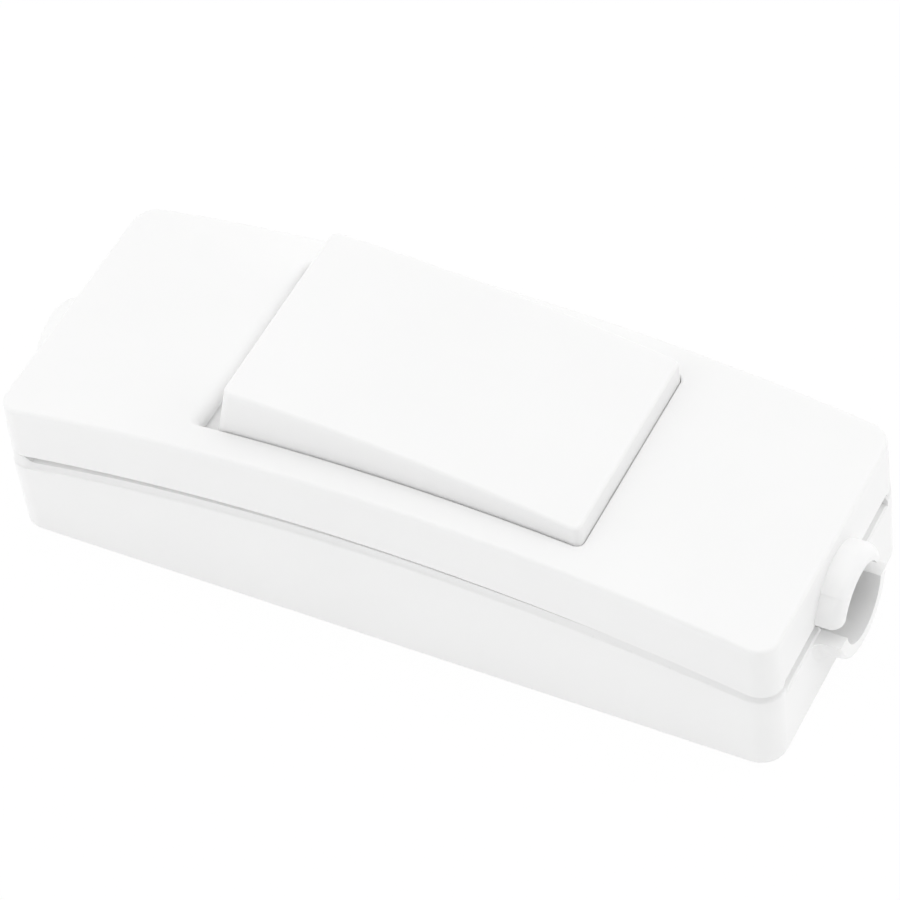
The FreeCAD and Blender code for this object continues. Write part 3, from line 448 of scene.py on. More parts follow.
class GeometryGraph(TreeBuilder):
    """One Geometry Nodes group with named inputs."""

    def __init__(self, name: str) -> None:
        """Start an empty group.

        Args:
            name: The group's name.
        """
        super().__init__(bpy.data.node_groups.new(name, "GeometryNodeTree"))
        self.tree.interface.new_socket("Geometry", in_out="OUTPUT", socket_type="NodeSocketGeometry")
        self.tree.interface.new_socket("Places", in_out="INPUT", socket_type="NodeSocketGeometry")
        self.entry = self.node("NodeGroupInput")
        self.exit = self.node("NodeGroupOutput")
        self.identifiers: dict[str, str] = {}

    def value(self, name: str, kind: str = "NodeSocketFloat") -> Socket:
        """Add a named input.

        Args:
            name: The input's name.
            kind: Its socket type.

        Returns:
            The socket inside the group.
        """
        item = self.tree.interface.new_socket(name, in_out="INPUT", socket_type=kind)
        self.identifiers[name] = item.identifier
        return self.entry.outputs[name]

    def position(self) -> list[Socket]:
        """Each point's position along X, Y and Z."""
        here = self.node("GeometryNodeInputPosition").outputs[0]
        return list(self.node("ShaderNodeSeparateXYZ", {0: here}).outputs)

    def raised(self, geometry: Socket, height: object) -> Socket:
        """Move a form up.

        Args:
            geometry: The form.
            height: Socket or number.

        Returns:
            The moved form.
        """
        offset = self.node("ShaderNodeCombineXYZ", {"Z": height}).outputs[0]
        moved = self.node("GeometryNodeTransform", {"Geometry": geometry, "Translation": offset})
        return moved.outputs["Geometry"]

    def repeat(self, single: Socket) -> None:
        """Set one form on every place, make it real and give it its material.

        Args:
            single: The form's geometry.
        """
        turn = self.value("Turn", "NodeSocketRotation")
        material = self.value("Material", "NodeSocketMaterial")
        points = self.node("GeometryNodeMeshToPoints", {"Mesh": self.entry.outputs["Places"]})
        spread = self.node(
            "GeometryNodeInstanceOnPoints",
            {"Points": points.outputs["Points"], "Instance": single, "Rotation": turn},
        )
        real = self.node("GeometryNodeRealizeInstances", {"Geometry": spread.outputs["Instances"]})
        dressed = self.node("GeometryNodeSetMaterial", {"Geometry": real.outputs["Geometry"], "Material": material})
        self.link(dressed.outputs["Geometry"], self.exit.inputs["Geometry"])

    def make(
        self,
        name: str,
        places: list[Vector],
        values: dict[str, object],
        skin: SmoothSkin,
    ) -> bpy.types.Object:
        """Run the group on some places and keep the result as a plain mesh.

        Args:
            name: The new piece's name.
            places: Points in metres.
            values: Values by input name.
            skin: How the result is shaded.

        Returns:
            The new object.
        """
        seeds = bpy.data.meshes.new(name + "_places")
        seeds.from_pydata(places, [], [])
        maker = add(name + "_maker", seeds)
        modifier = maker.modifiers.new("form", "NODES")
        modifier.node_group = self.tree
        for key, given in values.items():
            modifier[self.identifiers[key]] = given
        maker.update_tag()
        evaluated = maker.evaluated_get(bpy.context.evaluated_depsgraph_get())
        mesh = bpy.data.meshes.new_from_object(evaluated)
        maker.modifiers.remove(modifier)
        bpy.data.objects.remove(maker)
        bpy.data.meshes.remove(seeds)
        mesh.name = name
        skin.shade(mesh)
        return add(name, mesh)


@dataclass(frozen=True)
class RockerFrame:
    """The rocker's own level frame as it lies when its right end is pressed."""

    axis: Triple = (0.7 * MM, 0.0, 9.5 * MM)
    tilt_degrees: float = 6.7

    def turn(self) -> Triple:
        """The frame's rotation as Euler angles."""
        return (0.0, math.radians(self.tilt_degrees), 0.0)

    def place(self, x: float, y: float, z: float) -> Vector:
        """A point of the frame in the world.

        Args:
            x: Along the rocker, in metres.
            y: Across it.
            z: Up from its axis.

        Returns:
            The point.
        """
        return Matrix.Rotation(self.turn()[1], 3, "Y") @ Vector((x, y, z)) + Vector(self.axis)


@dataclass(frozen=True)
class Spring:
    """A compression spring with closed end turns."""

    node: str
    x: float
    y: float
    low: float
    high: float
    turns: float
    coil_radius: float = 1.35 * MM
    wire_radius: float = 0.2 * MM


@dataclass(frozen=True)
class Springs:
    """The three springs inside the rocker, of round wire."""

    pieces: tuple[Spring, ...] = (
        Spring("click_spring", 0.0, 0.0, 1.65 * MM, 8.55 * MM, 7.0),
        Spring("live_bridge_spring", 13.0 * MM, 6.0 * MM, -1.755 * MM, 4.55 * MM, 6.0),
        Spring("neutral_bridge_spring", 13.0 * MM, -6.0 * MM, -1.755 * MM, 4.55 * MM, 6.0),
    )
    frame: RockerFrame = RockerFrame()
    skin: SmoothSkin = SmoothSkin(merge=0.0005 * MM, crease_degrees=50.0)
    end_turn: float = 0.8
    closed_pitch: float = 2.05
    steps_a_turn: int = 28
    wire_sides: int = 14

    def graph(self) -> GeometryGraph:
        """The group that winds one spring: a helix with flattened end turns, swept by a round wire."""
        graph = GeometryGraph("wound_spring")
        coil, wire = graph.value("Coil radius"), graph.value("Wire radius")
        height, turns, flat = graph.value("Height"), graph.value("Turns"), graph.value("End share")
        spiral = graph.node(
            "GeometryNodeCurveSpiral",
            {
                "Resolution": self.steps_a_turn,
                "Rotations": turns,
                "Start Radius": coil,
                "End Radius": coil,
                "Height": height,
            },
        )
        along = graph.math("DIVIDE", graph.position()[2], height)
        rise = graph.math("MULTIPLY", wire, self.closed_pitch * self.end_turn)
        rise = graph.math("DIVIDE", rise, height)
        high_flat, high_rise = graph.math("SUBTRACT", 1.0, flat), graph.math("SUBTRACT", 1.0, rise)
        middle = graph.node(
            "ShaderNodeMapRange",
            {"Value": along, "From Min": flat, "From Max": high_flat, "To Min": rise, "To Max": high_rise},
        ).outputs["Result"]
        first = graph.math("MULTIPLY", graph.math("DIVIDE", along, flat), rise)
        left = graph.math("DIVIDE", graph.math("SUBTRACT", 1.0, along), flat)
        last = graph.math("SUBTRACT", 1.0, graph.math("MULTIPLY", left, rise))
        in_first = graph.math("LESS_THAN", along, flat)
        in_last = graph.math("GREATER_THAN", along, high_flat)
        lifted = graph.node("ShaderNodeMix", {0: in_first, 2: middle, 3: first}).outputs[0]
        lifted = graph.node("ShaderNodeMix", {0: in_last, 2: lifted, 3: last}).outputs[0]
        shift = graph.math("MULTIPLY", graph.math("SUBTRACT", lifted, along), height)
        offset = graph.node("ShaderNodeCombineXYZ", {"Z": graph.math("ADD", shift, wire)}).outputs[0]
        moved = graph.node("GeometryNodeSetPosition", {"Geometry": spiral.outputs["Curve"], "Offset": offset})
        section = graph.node(
            "GeometryNodeCurvePrimitiveCircle", {"Resolution": self.wire_sides, "Radius": wire}, mode="RADIUS"
        )
        swept = graph.node(
            "GeometryNodeCurveToMesh",
            {"Curve": moved.outputs["Geometry"], "Profile Curve": section.outputs["Curve"], "Fill Caps": True},
        )
        graph.repeat(swept.outputs["Mesh"])
        return graph

    def build(self, materials: Materials) -> None:
        """Wind every spring.

        Args:
            materials: Finishes by slot.
        """
        graph = self.graph()
        for spring in self.pieces:
            values = {
                "Coil radius": spring.coil_radius,
                "Wire radius": spring.wire_radius,
                "Height": spring.high - spring.low - 2 * spring.wire_radius,
                "Turns": spring.turns,
                "End share": self.end_turn / spring.turns,
                "Turn": self.frame.turn(),
                "Material": materials[Slot.SPRING],
            }
            place = self.frame.place(spring.x, spring.y, spring.low)
            piece = graph.make(spring.node + "_wound", [place], values, self.skin)
            dress(piece, materials[Slot.SPRING])
            seat(piece, Body.ROCKER, Slot.SPRING, [spring.node])


@dataclass(frozen=True)
class ScrewKind:
    """One kind of slotted cheese-head screw and where it stands."""

    node: str
    head_radius: float
    head_height: float
    radius: float
    length: float
    pitch: float
    taper: float
    seat: float
    places: tuple[tuple[float, float], ...]
    upside_down: bool = False


@dataclass(frozen=True)
class Screws:
    """Every screw, with a bevelled slotted head and a real thread."""

    kinds: tuple[ScrewKind, ...] = (
        ScrewKind(
            "terminal_screws",
            *(2.1, 1.5, 1.25, 2.5, 0.5, 0.3, 9.2),
            ((-25.2, -8.7), (-25.2, 8.7), (25.2, -8.7), (25.2, 8.7)),
        ),
        ScrewKind("earth_screws", 2.1, 1.5, 1.25, 2.5, 0.5, 0.3, 9.2, ((-30.5, 0.0), (-24.5, 0.0))),
        ScrewKind(
            "clamp_screws",
            *(2.3, 1.5, 1.3, 7.0, 0.9, 1.2, 10.0),
            ((-37.3, -8.0), (-37.3, 8.0), (37.3, -8.0), (37.3, 8.0)),
        ),
        ScrewKind(
            "housing_screws",
            *(2.2, 1.5, 1.45, 12.5, 1.1, 1.6, 3.5),
            ((31.8, -11.0), (-31.8, 11.0)),
            upside_down=True,
        ),
    )
    bevel: float = 0.25
    head_sides: int = 48
    shank_sides: int = 40
    rows_a_turn: float = 10.0
    tip_share: float = 0.45
    slot_reach: float = 2.4
    skin: SmoothSkin = SmoothSkin(merge=0.0005 * MM, crease_degrees=35.0)

    def head(self, graph: GeometryGraph) -> Socket:
        """The head: a drum with a bevelled rim and a slot across it."""
        radius, height, bevel = graph.value("Head radius"), graph.value("Head height"), graph.value("Bevel")
        slot_width, slot_depth = graph.value("Slot width"), graph.value("Slot depth")
        low = graph.math("SUBTRACT", height, bevel)
        drum = graph.node(
            "GeometryNodeMeshCylinder",
            {"Vertices": self.head_sides, "Radius": radius, "Depth": low},
            fill_type="NGON",
        )
        raised = graph.raised(drum.outputs["Mesh"], graph.math("MULTIPLY", low, 0.5))
        lifted = graph.node(
            "GeometryNodeExtrudeMesh",
            {"Mesh": raised, "Selection": drum.outputs["Top"], "Offset Scale": bevel},
            mode="FACES",
        )
        share = graph.math("DIVIDE", graph.math("SUBTRACT", radius, bevel), radius)
        narrowed = graph.node(
            "GeometryNodeScaleElements",
            {"Geometry": lifted.outputs["Mesh"], "Selection": lifted.outputs["Top"], "Scale": share},
            domain="FACE",
        )
        size = graph.node(
            "ShaderNodeCombineXYZ",
            {
                "X": graph.math("MULTIPLY", radius, self.slot_reach),
                "Y": slot_width,
                "Z": graph.math("MULTIPLY", slot_depth, 2.0),
            },
        )
        bar = graph.node("GeometryNodeMeshCube", {"Size": size.outputs[0]})
        cut = graph.node("GeometryNodeMeshBoolean", operation="DIFFERENCE", solver="EXACT")
        graph.link(narrowed.outputs["Geometry"], cut.inputs["Mesh 1"])
        graph.link(graph.raised(bar.outputs["Mesh"], height), cut.inputs["Mesh 2"])
        return cut.outputs["Mesh"]

    def shank(self, graph: GeometryGraph) -> Socket:
        """The shank: a drum whose skin winds in and out with the thread and narrows at its tip."""
        radius, length, pitch = graph.value("Shank radius"), graph.value("Length"), graph.value("Pitch")
        taper, sunk = graph.value("Taper"), graph.value("Sunk")
        full = graph.math("ADD", length, sunk)
        rows = graph.math("CEIL", graph.math("MULTIPLY", graph.math("DIVIDE", full, pitch), self.rows_a_turn))
        drum = graph.node(
            "GeometryNodeMeshCylinder",
            {"Vertices": self.shank_sides, "Side Segments": rows, "Radius": radius, "Depth": full},
            fill_type="NGON",
        )
        middle = graph.math("SUBTRACT", sunk, graph.math("MULTIPLY", full, 0.5))
        lowered = graph.raised(drum.outputs["Mesh"], middle)
        x, y, z = graph.position()
        angle = graph.math("DIVIDE", graph.math("ARCTAN2", y, x), 2 * math.pi)
        phase = graph.math("FRACT", graph.math("SUBTRACT", graph.math("DIVIDE", z, pitch), angle))
        wave = graph.math("ABSOLUTE", graph.math("SUBTRACT", graph.math("MULTIPLY", phase, 2.0), 1.0))
        depth = graph.math("DIVIDE", graph.math("MULTIPLY", graph.math("MULTIPLY", wave, pitch), 0.5), radius)
        from_tip = graph.math("DIVIDE", graph.math("ADD", z, length), taper)
        tip = graph.node(
            "ShaderNodeMapRange",
            {"Value": from_tip, "From Min": 0.0, "From Max": 1.0, "To Min": self.tip_share, "To Max": 1.0},
        ).outputs["Result"]
        factor = graph.math("MULTIPLY", graph.math("SUBTRACT", 1.0, depth), tip)
        new_place = graph.node(
            "ShaderNodeCombineXYZ",
            {"X": graph.math("MULTIPLY", x, factor), "Y": graph.math("MULTIPLY", y, factor), "Z": z},
        )
        wound = graph.node("GeometryNodeSetPosition", {"Geometry": lowered, "Position": new_place.outputs[0]})
        return wound.outputs["Geometry"]

    def graph(self) -> GeometryGraph:
        """The group that turns one screw and sets it on its places."""
        graph = GeometryGraph("turned_screw")
        joined = graph.node("GeometryNodeJoinGeometry")
        for part in (self.shank(graph), self.head(graph)):
            graph.link(part, joined.inputs["Geometry"])
        graph.repeat(joined.outputs["Geometry"])
        return graph

    def build(self, materials: Materials) -> None:
        """Turn every screw.

        Args:
            materials: Finishes by slot.
        """
        graph = self.graph()
        for kind in self.kinds:
            # The slot is a third of the shank wide and half the head deep.
            values = {
                "Head radius": kind.head_radius * MM,
                "Head height": kind.head_height * MM,
                "Bevel": self.bevel * MM,
                "Slot width": 2 * kind.radius / 3 * MM,
                "Slot depth": kind.head_height / 2 * MM,
                "Shank radius": kind.radius * MM,
                "Length": kind.length * MM,
                "Pitch": kind.pitch * MM,
                "Taper": kind.taper * MM,
                "Sunk": self.bevel * MM,
                "Turn": (math.pi, 0.0, 0.0) if kind.upside_down else (0.0, 0.0, 0.0),
                "Material": materials[Slot.PLATED],
            }
            places = [Vector((x * MM, y * MM, kind.seat * MM)) for x, y in kind.places]
            piece = graph.make(kind.node + "_turned", places, values, self.skin)
            dress(piece, materials[Slot.PLATED])
            seat(piece, Body.CASE, Slot.PLATED, [kind.node])


@dataclass(frozen=True)
class DressedNode:
    """One CAD node that is shown through its smooth skin."""

    node: str
    name: str
    body: Body
    slot: Slot
    skin: SmoothSkin = SmoothSkin()
    edge_round: float = 0.0
    reshape: Callable[[bpy.types.Mesh], None] | None = None

    def build(self, materials: Materials) -> bpy.types.Object:
        """Make the piece.

        Args:
            materials: Finishes by slot.

        Returns:
            The finished piece.
        """
        piece = self.skin.copy(self.node, self.name)
        if self.reshape:
            self.reshape(piece.data)
        if self.edge_round:
            self.skin.soften(piece, self.edge_round)
        self.skin.weigh(piece)
        dress(piece, materials[self.slot])
        return seat(piece, self.body, self.slot, [self.node])


@dataclass(frozen=True)
class CaseForm:
    """The arched case as moulded, with the cover's tilt about its right lower edge."""

    half_length: float = 42.5 * MM
    half_width: float = 15.7 * MM
    corner: float = 2.7 * MM
    rim_crown: float = 13.6 * MM
    seam: float = 0.3 * MM
    cover_height: float = 7.05 * MM
    cover_step: float = 0.2 * MM
    cover_lift: float = 1.0 * MM
    arch_radius: float = 221.0 * MM
    collar_drop: float = 0.4 * MM

    def arch(self, crown: float, x: float) -> float:
        """Height at x of an arc along the case with its crown at mid length."""
        return crown - self.arch_radius + math.sqrt(self.arch_radius**2 - x**2)

    def tilt(self) -> Matrix:
        """The turn that lifts the cover's left end off the base."""
        reach = self.half_length - self.cover_step
        hinge = Vector((reach, 0, self.arch(self.rim_crown + self.seam, reach)))
        turn = Matrix.Rotation(math.asin(self.cover_lift / (2 * reach)), 4, "Y")
        return Matrix.Translation(hinge) @ turn @ Matrix.Translation(-hinge)

    def collar_height(self) -> float:
        """Height of the cord entries' axis."""
        return self.arch(self.rim_crown, self.half_length) - self.collar_drop


@dataclass(frozen=True)
class OpeningLip:
    """The rounded lip of the rocker's opening, wide at the raised end and tight along the sides."""

    form: CaseForm = CaseForm()
    centre_x: float = 0.572 * MM
    half: tuple[float, float] = (20.9 * MM, 12.02 * MM)
    corner: float = 1.0 * MM
    moulded_round: float = 0.5 * MM
    roof: float = 1.8 * MM
    reach: float = 0.08 * MM
    side_scale: float = 0.4
    left_scale: float = 2.5
    right_scale: float = 0.6
    side_shift: float = 0.1 * MM
    right_shift: float = 0.12 * MM

    def away(self, point: Vector) -> tuple[float, Vector]:
        """Distance from the opening's wall and the direction away from the rocker.

        Args:
            point: A point in the cover's own frame.

        Returns:
            The distance, and the level unit direction.
        """
        along, across = point.x - self.centre_x, point.y
        past_x = abs(along) - self.half[0] + self.corner
        past_y = abs(across) - self.half[1] + self.corner
        if past_x > 0 and past_y > 0:
            reach = math.hypot(past_x, past_y)
            way = Vector((math.copysign(past_x, along), math.copysign(past_y, across), 0)) / reach
            return reach - self.corner, way
        if past_x > past_y:
            return past_x - self.corner, Vector((math.copysign(1, along), 0, 0))
        return past_y - self.corner, Vector((0, math.copysign(1, across), 0))

    def move(self, point: Vector) -> Vector:
        """Where a point of the cover goes.

        Args:
            point: A point in the cover's own frame.

        Returns:
            The moved point, or the same one away from the lip.
        """
        distance, way = self.away(point)
        below = self.form.arch(self.form.rim_crown + self.form.cover_height, point.x) - point.z
        limit = self.moulded_round + self.reach
        if not (-self.reach < distance < limit and -self.reach < below < self.roof + self.reach):
            return point
        inwards = self.side_shift * way.y**2 + (self.right_shift * way.x**2 if way.x > 0 else 0)
        shift = way * -inwards
        if below > limit:
            return point + shift
        end_scale = self.left_scale if way.x < 0 else self.right_scale
        scale = end_scale * way.x**2 + self.side_scale * way.y**2
        moved = point + way * (distance * (scale - 1)) + shift
        moved.z = self.form.arch(self.form.rim_crown + self.form.cover_height, moved.x) - below * scale
        return moved


@dataclass(frozen=True)
class HoodCrown:
    """The upper collar's crown, whose raised band runs out to a faint edge."""

    form: CaseForm = CaseForm()
    radius: float = 5.7 * MM
    tip: float = 44.95 * MM
    tip_round: float = 1.2 * MM
    root: float = 41.9 * MM
    band_top: float = 6.3 * MM
    band_degrees: float = 41.5
    proud_share: float = 0.15

    def move(self, point: Vector) -> Vector:
        """Where a point of the cover goes.

        Args:
            point: A point in the cover's own frame.

        Returns:
            The moved point, or the same one away from the band.
        """
        up = point.z - self.form.collar_height()
        reach = math.hypot(point.y, up)
        if abs(point.x) < self.root or not 0 < reach < self.band_top:
            return point
        if up < reach * math.cos(math.radians(self.band_degrees)):
            return point
        past = max(abs(point.x) - self.tip + self.tip_round, 0.0)
        plain = self.radius - self.tip_round + math.sqrt(max(self.tip_round**2 - past**2, 0.0))
        if reach <= plain:
            return point
        scale = (plain + self.proud_share * (reach - plain)) / reach
        return Vector((point.x, point.y * scale, self.form.collar_height() + up * scale))


@dataclass(frozen=True)
class CoverFinish:
    """The last small forms of the upper shell."""

    form: CaseForm = CaseForm()
    lip: OpeningLip = OpeningLip()
    crown: HoodCrown = HoodCrown()

    def __call__(self, mesh: bpy.types.Mesh) -> None:
        """Change the upper shell's mesh.

        Args:
            mesh: The mesh.
        """
        tilt = self.form.tilt()
        level = tilt.inverted()
        for vertex in mesh.vertices:
            point = self.crown.move(self.lip.move(level @ vertex.co))
            vertex.co = tilt @ point


@dataclass(frozen=True)
class RockerFinish:
    """The rocker's dust rim, which climbs on under the roof at both ends."""

    frame: RockerFrame = RockerFrame()
    rim_start: float = 20.2 * MM
    rim_width: float = 1.8 * MM
    rim_extra: float = 0.7 * MM
    left_rise: float = 0.9 * MM
    right_rise: float = 0.3 * MM

    def __call__(self, mesh: bpy.types.Mesh) -> None:
        """Change the rocker's mesh.

        Args:
            mesh: The mesh.
        """
        turn = Matrix.Rotation(self.frame.turn()[1], 4, "Y")
        place = Matrix.Translation(Vector(self.frame.axis)) @ turn
        level = place.inverted()
        for vertex in mesh.vertices:
            point = level @ vertex.co
            share = min((abs(point.x) - self.rim_start) / self.rim_width, 1.0)
            if share > 0:
                point.z += share * (self.left_rise if point.x < 0 else self.right_rise)
                point.x += math.copysign(share * self.rim_extra, point.x)
                vertex.co = place @ point


def share_along(value: float, span: tuple[float, float]) -> float:
    """How far a value has come along a span, held between 0 and 1."""
    first, last = span
    return min(max((value - first) / (last - first), 0.0), 1.0)


@dataclass(frozen=True)
class LipStation:
    """One cut through the seam's lip."""

    point: Vector
    way: Vector
    foot_inset: float
    foot_drop: float
    top_inset: float
    top: float


@dataclass(frozen=True)
class SeamLip:
    """The lower shell's low lip, which slopes up from the rim's round and closes the left corners."""

    form: CaseForm = CaseForm()
    foot_inset: float = 0.12 * MM
    foot_drop: float = 0.2 * MM
    top_inset: float = 0.42 * MM
    corner_foot_inset: float = 0.05 * MM
    corner_foot_drop: float = 0.3 * MM
    corner_top_inset: float = 0.21 * MM
    depth: float = 0.75 * MM
    root: float = 1.0 * MM
    end_half: float = 12.6 * MM
    step: float = 0.02 * MM
    corner_parts: int = 8
    side_parts: int = 120
    least_gap: float = 0.03 * MM
    rise: float = 0.45 * MM
    left_fall: float = 0.15 * MM
    left_span: tuple[float, float] = (-28.0 * MM, -39.0 * MM)
    right_span: tuple[float, float] = (-4.0 * MM, 12.0 * MM)
    right_share: float = 0.45
    ramp: float = 0.9 * MM

    def cut(self, point: Vector, way: Vector, closed: float) -> LipStation:
        """The lip at one station.

        Args:
            point: A point on the case's outline.
            way: The direction outwards.
            closed: 1 where the lip closes the seam flush with the cover, 0 where it stays low.

        Returns:
            The cut.
        """
        edge = Vector((point.x, point.y, self.form.arch(self.form.rim_crown + self.form.seam, point.x)))
        ceiling = (self.form.tilt() @ edge).z - self.least_gap
        fall = self.left_fall * share_along(point.x, self.left_span)
        low = min(self.form.arch(self.form.rim_crown, point.x) + self.rise - fall, ceiling)
        steep = max(closed, self.right_share * share_along(point.x, self.right_span))
        return LipStation(
            point,
            way,
            self.foot_inset + steep * (self.corner_foot_inset - self.foot_inset),
            self.foot_drop + steep * (self.corner_foot_drop - self.foot_drop),
            self.top_inset + steep * (self.corner_top_inset - self.top_inset),
            low + closed * (ceiling - low),
        )

    def corner(self, side: int, closed: float) -> list[LipStation]:
        """The lip round one front corner, from the end to the long side.

        Args:
            side: 1 for the right corner, -1 for the left one.
            closed: As for cut.

        Returns:
            The cuts.
        """
        inner_length, inner_width = self.form.half_length - self.form.corner, self.form.half_width - self.form.corner
        centre = Vector((side * inner_length, -inner_width, 0))
        start = Vector((side * self.form.half_length, -self.end_half - self.step, 0))
        cuts = [self.cut(start, Vector((side, 0, 0)), closed)]
        for part in range(self.corner_parts + 1):
            angle = math.pi / 2 * part / self.corner_parts
            way = Vector((side * math.cos(angle), -math.sin(angle), 0))
            cuts.append(self.cut(centre + way * self.form.corner, way, closed))
        return cuts

    def path(self) -> list[LipStation]:
        """The lip's line round the front half of the case, from the right end to the left end."""
        straight = self.form.half_length - self.form.corner
        front = []
        for part in range(1, self.side_parts):
            share = part / self.side_parts
            x = straight * (1 - 2 * share)
            from_corner = min(max((x + straight) / self.ramp, 0.0), 1.0)
            closed = 1 - math.sin(from_corner * math.pi / 2)
            front.append(self.cut(Vector((x, -self.form.half_width, 0)), Vector((0, -1, 0)), closed))
        return self.corner(1, 0.0) + front + self.corner(-1, 1.0)[::-1]

    def section(self, station: LipStation) -> list[Vector]:
        """The lip's four corners at one cut.

        Args:
            station: The cut.

        Returns:
            Outer top, inner top, inner foot and outer foot.
        """
        rim = self.form.arch(self.form.rim_crown, station.point.x)
        outer = station.point - station.way * station.top_inset
        inner = station.point - station.way * (self.top_inset + self.depth)
        foot = station.point - station.way * station.foot_inset
        return [
            Vector((outer.x, outer.y, station.top)),
            Vector((inner.x, inner.y, station.top)),
            Vector((inner.x, inner.y, rim - self.root)),
            Vector((foot.x, foot.y, rim - station.foot_drop)),
        ]

    def __call__(self, mesh: bpy.types.Mesh) -> None:
        """Add the lip to the lower shell's mesh.

        Args:
            mesh: The mesh.
        """
        bm = bmesh.new()
        bm.from_mesh(mesh)
        for mirror in (1, -1):
            rings = []
            for station in self.path():
                corners = self.section(station)
                rings.append([bm.verts.new((c.x, mirror * c.y, c.z)) for c in corners])
            faces = [bm.faces.new(rings[0]), bm.faces.new(rings[-1])]
            for near, far in zip(rings, rings[1:]):
                for first in range(4):
                    second = (first + 1) % 4
                    faces.append(bm.faces.new((near[first], near[second], far[second], far[first])))
            bmesh.ops.recalc_face_normals(bm, faces=faces)
            limit = math.radians(SmoothSkin().crease_degrees)
            for face in faces:
                face.smooth = True
                for edge in face.edges:
                    edge.smooth = edge.calc_face_angle(math.pi) < limit
        bm.to_mesh(mesh)
        bm.free()


@dataclass(frozen=True)
class Housing:
    """The two shells and the rocker that show from outside."""

    pieces: tuple[DressedNode, ...] = (
        DressedNode("base_shell", "lower_shell", Body.CASE, Slot.WHITE, reshape=SeamLip()),
        DressedNode("cover_shell", "upper_shell", Body.CASE, Slot.WHITE, reshape=CoverFinish()),
        DressedNode("rocker_button", "wide_rocker", Body.ROCKER, Slot.WHITE, reshape=RockerFinish()),
    )

    def build(self, materials: Materials) -> list[bpy.types.Object]:
        """Make the pieces.

        Args:
            materials: Finishes by slot.

        Returns:
            The finished pieces.
        """
        return [piece.build(materials) for piece in self.pieces]


@dataclass(frozen=True)
class Inside:
    """The electrical and moving pieces inside the case, by node."""

    places: dict[str, tuple[Body, Slot]] = field(
        default_factory=lambda: {
            "click_plunger": (Body.PLUNGER, Slot.ACETAL),
            "live_bridge": (Body.LIVE_BRIDGE, Slot.COPPER),
            "neutral_bridge": (Body.NEUTRAL_BRIDGE, Slot.COPPER),
            "live_bridge_contacts": (Body.LIVE_BRIDGE, Slot.SILVER),
            "neutral_bridge_contacts": (Body.NEUTRAL_BRIDGE, Slot.SILVER),
            "fixed_contacts": (Body.CASE, Slot.SILVER),
            "live_in_terminal": (Body.CASE, Slot.BRASS),
            "live_out_terminal": (Body.CASE, Slot.BRASS),
            "neutral_in_terminal": (Body.CASE, Slot.BRASS),
            "neutral_out_terminal": (Body.CASE, Slot.BRASS),
            "earth_terminal": (Body.CASE, Slot.BRASS),
            "left_cord_clamp": (Body.CASE, Slot.PLATED),
            "right_cord_clamp": (Body.CASE, Slot.PLATED),
        }
    )

    edge_rounds: dict[Slot, float] = field(
        default_factory=lambda: {Slot.BRASS: 0.12 * MM, Slot.COPPER: 0.1 * MM, Slot.PLATED: 0.15 * MM}
    )

    def build(self, materials: Materials) -> None:
        """Make every piece.

        Args:
            materials: Finishes by slot.
        """
        for node, (body, slot) in self.places.items():
            edge_round = self.edge_rounds.get(slot, 0.0)
            DressedNode(node, node + "_dressed", body, slot, edge_round=edge_round).build(materials)


@dataclass(frozen=True)
class SoftBox:
    """A square lamp: its name, its place and side in metres, and its power in watts."""

    name: str
    place: Triple
    size: float
    power: float


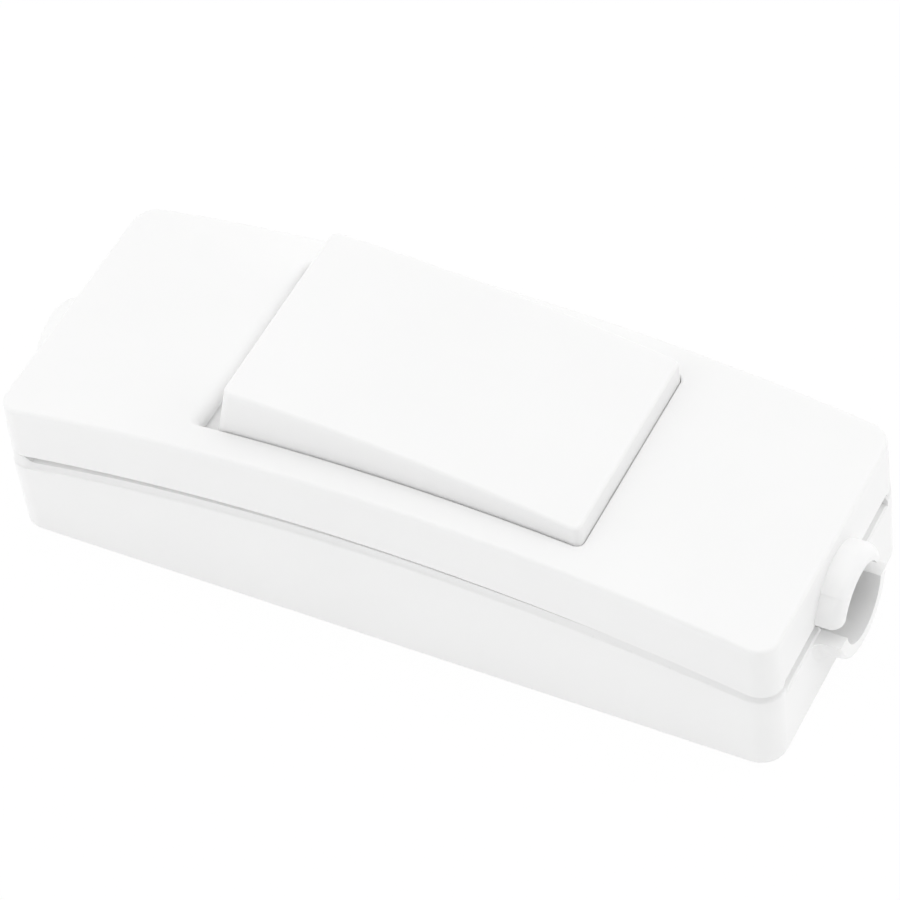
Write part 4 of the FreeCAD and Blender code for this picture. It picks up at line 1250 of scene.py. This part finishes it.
@dataclass(frozen=True)
class Studio:
    """Camera, floor, light and world."""

    azimuth: float = 32.495
    elevation: float = 47.810
    roll: float = 8.167
    aim: Triple = (1.042 * MM, -0.087 * MM, 13.0 * MM)
    distance: float = 397.212 * MM
    lens: float = 160.0
    sensor: float = 36.0
    clip: tuple[float, float] = (0.01, 50.0)
    floor_size: float = 6.0
    floor_white: float = 0.88
    floor_glow: float = 0.18
    world_white: float = 0.87
    backdrop_share: float = 0.95
    soft_boxes: tuple[SoftBox, ...] = (
        SoftBox("overhead_soft_box", (0.3, 0.1, 1.7), 1.2, 4.5),
        SoftBox("right_soft_box", (1.5, 0.5, 0.8), 1.2, 2.3),
        SoftBox("left_soft_box", (-1.0, -1.2, 1.3), 1.0, 2.1),
    )
    card_place: Triple = (0.62, -0.62, 0.24)
    card_size: float = 0.7
    card_grey: float = 0.02

    def camera(self) -> None:
        """Set up the camera at the photograph's angle."""
        azimuth, elevation = math.radians(self.azimuth), math.radians(self.elevation)
        level = math.cos(elevation)
        back = Vector((math.sin(azimuth) * level, -math.cos(azimuth) * level, math.sin(elevation)))
        data = bpy.data.cameras.new("camera")
        data.lens = self.lens
        data.sensor_width = self.sensor
        data.clip_start, data.clip_end = self.clip
        camera = add("camera", data)
        turn = (-back).to_track_quat("-Z", "Y").to_matrix()
        spin = Matrix.Rotation(math.radians(-self.roll), 3, "Z")
        place = Matrix.Translation(Vector(self.aim) + back * self.distance)
        camera.matrix_world = place @ (turn @ spin).to_4x4()
        bpy.context.scene.camera = camera

    def matt(self, nodes: MaterialBuilder, grey: float) -> Socket:
        """A matt grey surface.

        Args:
            nodes: The material's builder.
            grey: 0 for black, 1 for white.

        Returns:
            The shader.
        """
        return nodes.node("ShaderNodeBsdfDiffuse", {"Color": (grey, grey, grey, 1)}).outputs[0]

    def glow(self, nodes: MaterialBuilder, strength: float) -> Socket:
        """A white glow.

        Args:
            nodes: The material's builder.
            strength: Its strength.

        Returns:
            The shader.
        """
        return nodes.node("ShaderNodeEmission", {"Color": (1, 1, 1, 1), "Strength": strength}).outputs[0]

    def sheet(self, name: str, size: float, material: bpy.types.Material) -> bpy.types.Object:
        """Make a level square sheet about the origin.

        Args:
            name: The sheet's name.
            size: Its side, in metres.
            material: Its finish.

        Returns:
            The sheet.
        """
        half = size / 2
        mesh = bpy.data.meshes.new(name)
        corners = [(-half, -half, 0), (half, -half, 0), (half, half, 0), (-half, half, 0)]
        mesh.from_pydata(corners, [], [(0, 1, 2, 3)])
        mesh.materials.append(material)
        return add(name, mesh)

    def face_switch(self, thing: bpy.types.Object, place: Triple) -> None:
        """Set a lamp or card in its place and turn it to the switch.

        Args:
            thing: The lamp or card.
            place: Its middle, in metres.
        """
        thing.location = place
        thing.rotation_euler = (-Vector(place)).to_track_quat("-Z", "Y").to_euler()

    def floor(self) -> None:
        """Lay a lit pale table that shows nearly white to the camera and keeps a faint shadow."""
        nodes = MaterialBuilder("pale_table")
        matt, glow = self.matt(nodes, self.floor_white), self.glow(nodes, self.floor_glow)
        table = nodes.node("ShaderNodeAddShader", {0: matt, 1: glow}).outputs[0]
        seen = nodes.node("ShaderNodeLightPath").outputs["Is Camera Ray"]
        share = nodes.math("MULTIPLY", seen, self.backdrop_share)
        mix = nodes.node("ShaderNodeMixShader", {"Fac": share, 1: table, 2: self.glow(nodes, 1.0)})
        nodes.link(mix.outputs[0], nodes.output.inputs["Surface"])
        floor = self.sheet("floor", self.floor_size, nodes.material)

    def world(self) -> None:
        """Light the switch evenly from all round."""
        world = bpy.data.worlds.new("studio")
        world.use_nodes = True
        nodes = TreeBuilder(world.node_tree)
        nodes.tree.nodes.clear()
        soft, white = (
            nodes.node("ShaderNodeBackground", {"Color": (1, 1, 1, 1), "Strength": strength}).outputs[0]
            for strength in (self.world_white, 1.0)
        )
        seen = nodes.node("ShaderNodeLightPath").outputs["Is Camera Ray"]
        mix = nodes.node("ShaderNodeMixShader", {"Fac": seen, 1: soft, 2: white}).outputs[0]
        nodes.node("ShaderNodeOutputWorld", {"Surface": mix})
        bpy.context.scene.world = world

    def lamps(self) -> None:
        """Hang the soft boxes, which face the switch."""
        for box in self.soft_boxes:
            data = bpy.data.lights.new(box.name, "AREA")
            data.shape = "SQUARE"
            data.size = box.size
            data.energy = box.power
            self.face_switch(add(box.name, data), box.place)

    def card(self) -> None:
        """Stand a black card behind the camera, which darkens what faces the camera's side."""
        nodes = MaterialBuilder("dark_card")
        nodes.link(self.matt(nodes, self.card_grey), nodes.output.inputs["Surface"])
        card = self.sheet("dark_card", self.card_size, nodes.material)
        self.face_switch(card, self.card_place)

    def build(self) -> None:
        """Set up the whole studio."""
        bpy.context.scene.view_settings.view_transform = "Standard"
        self.camera()
        self.floor()
        self.world()
        self.lamps()
        self.card()
        LOG.info("studio ready")


def main() -> None:
    """Build the switch and its studio."""
    logging.basicConfig(level=logging.INFO)
    Studio().build()
    materials = Finishes().build()
    Housing().build(materials)
    Inside().build(materials)
    Springs().build(materials)
    Screws().build(materials)


if __name__ == "__main__":
    main()
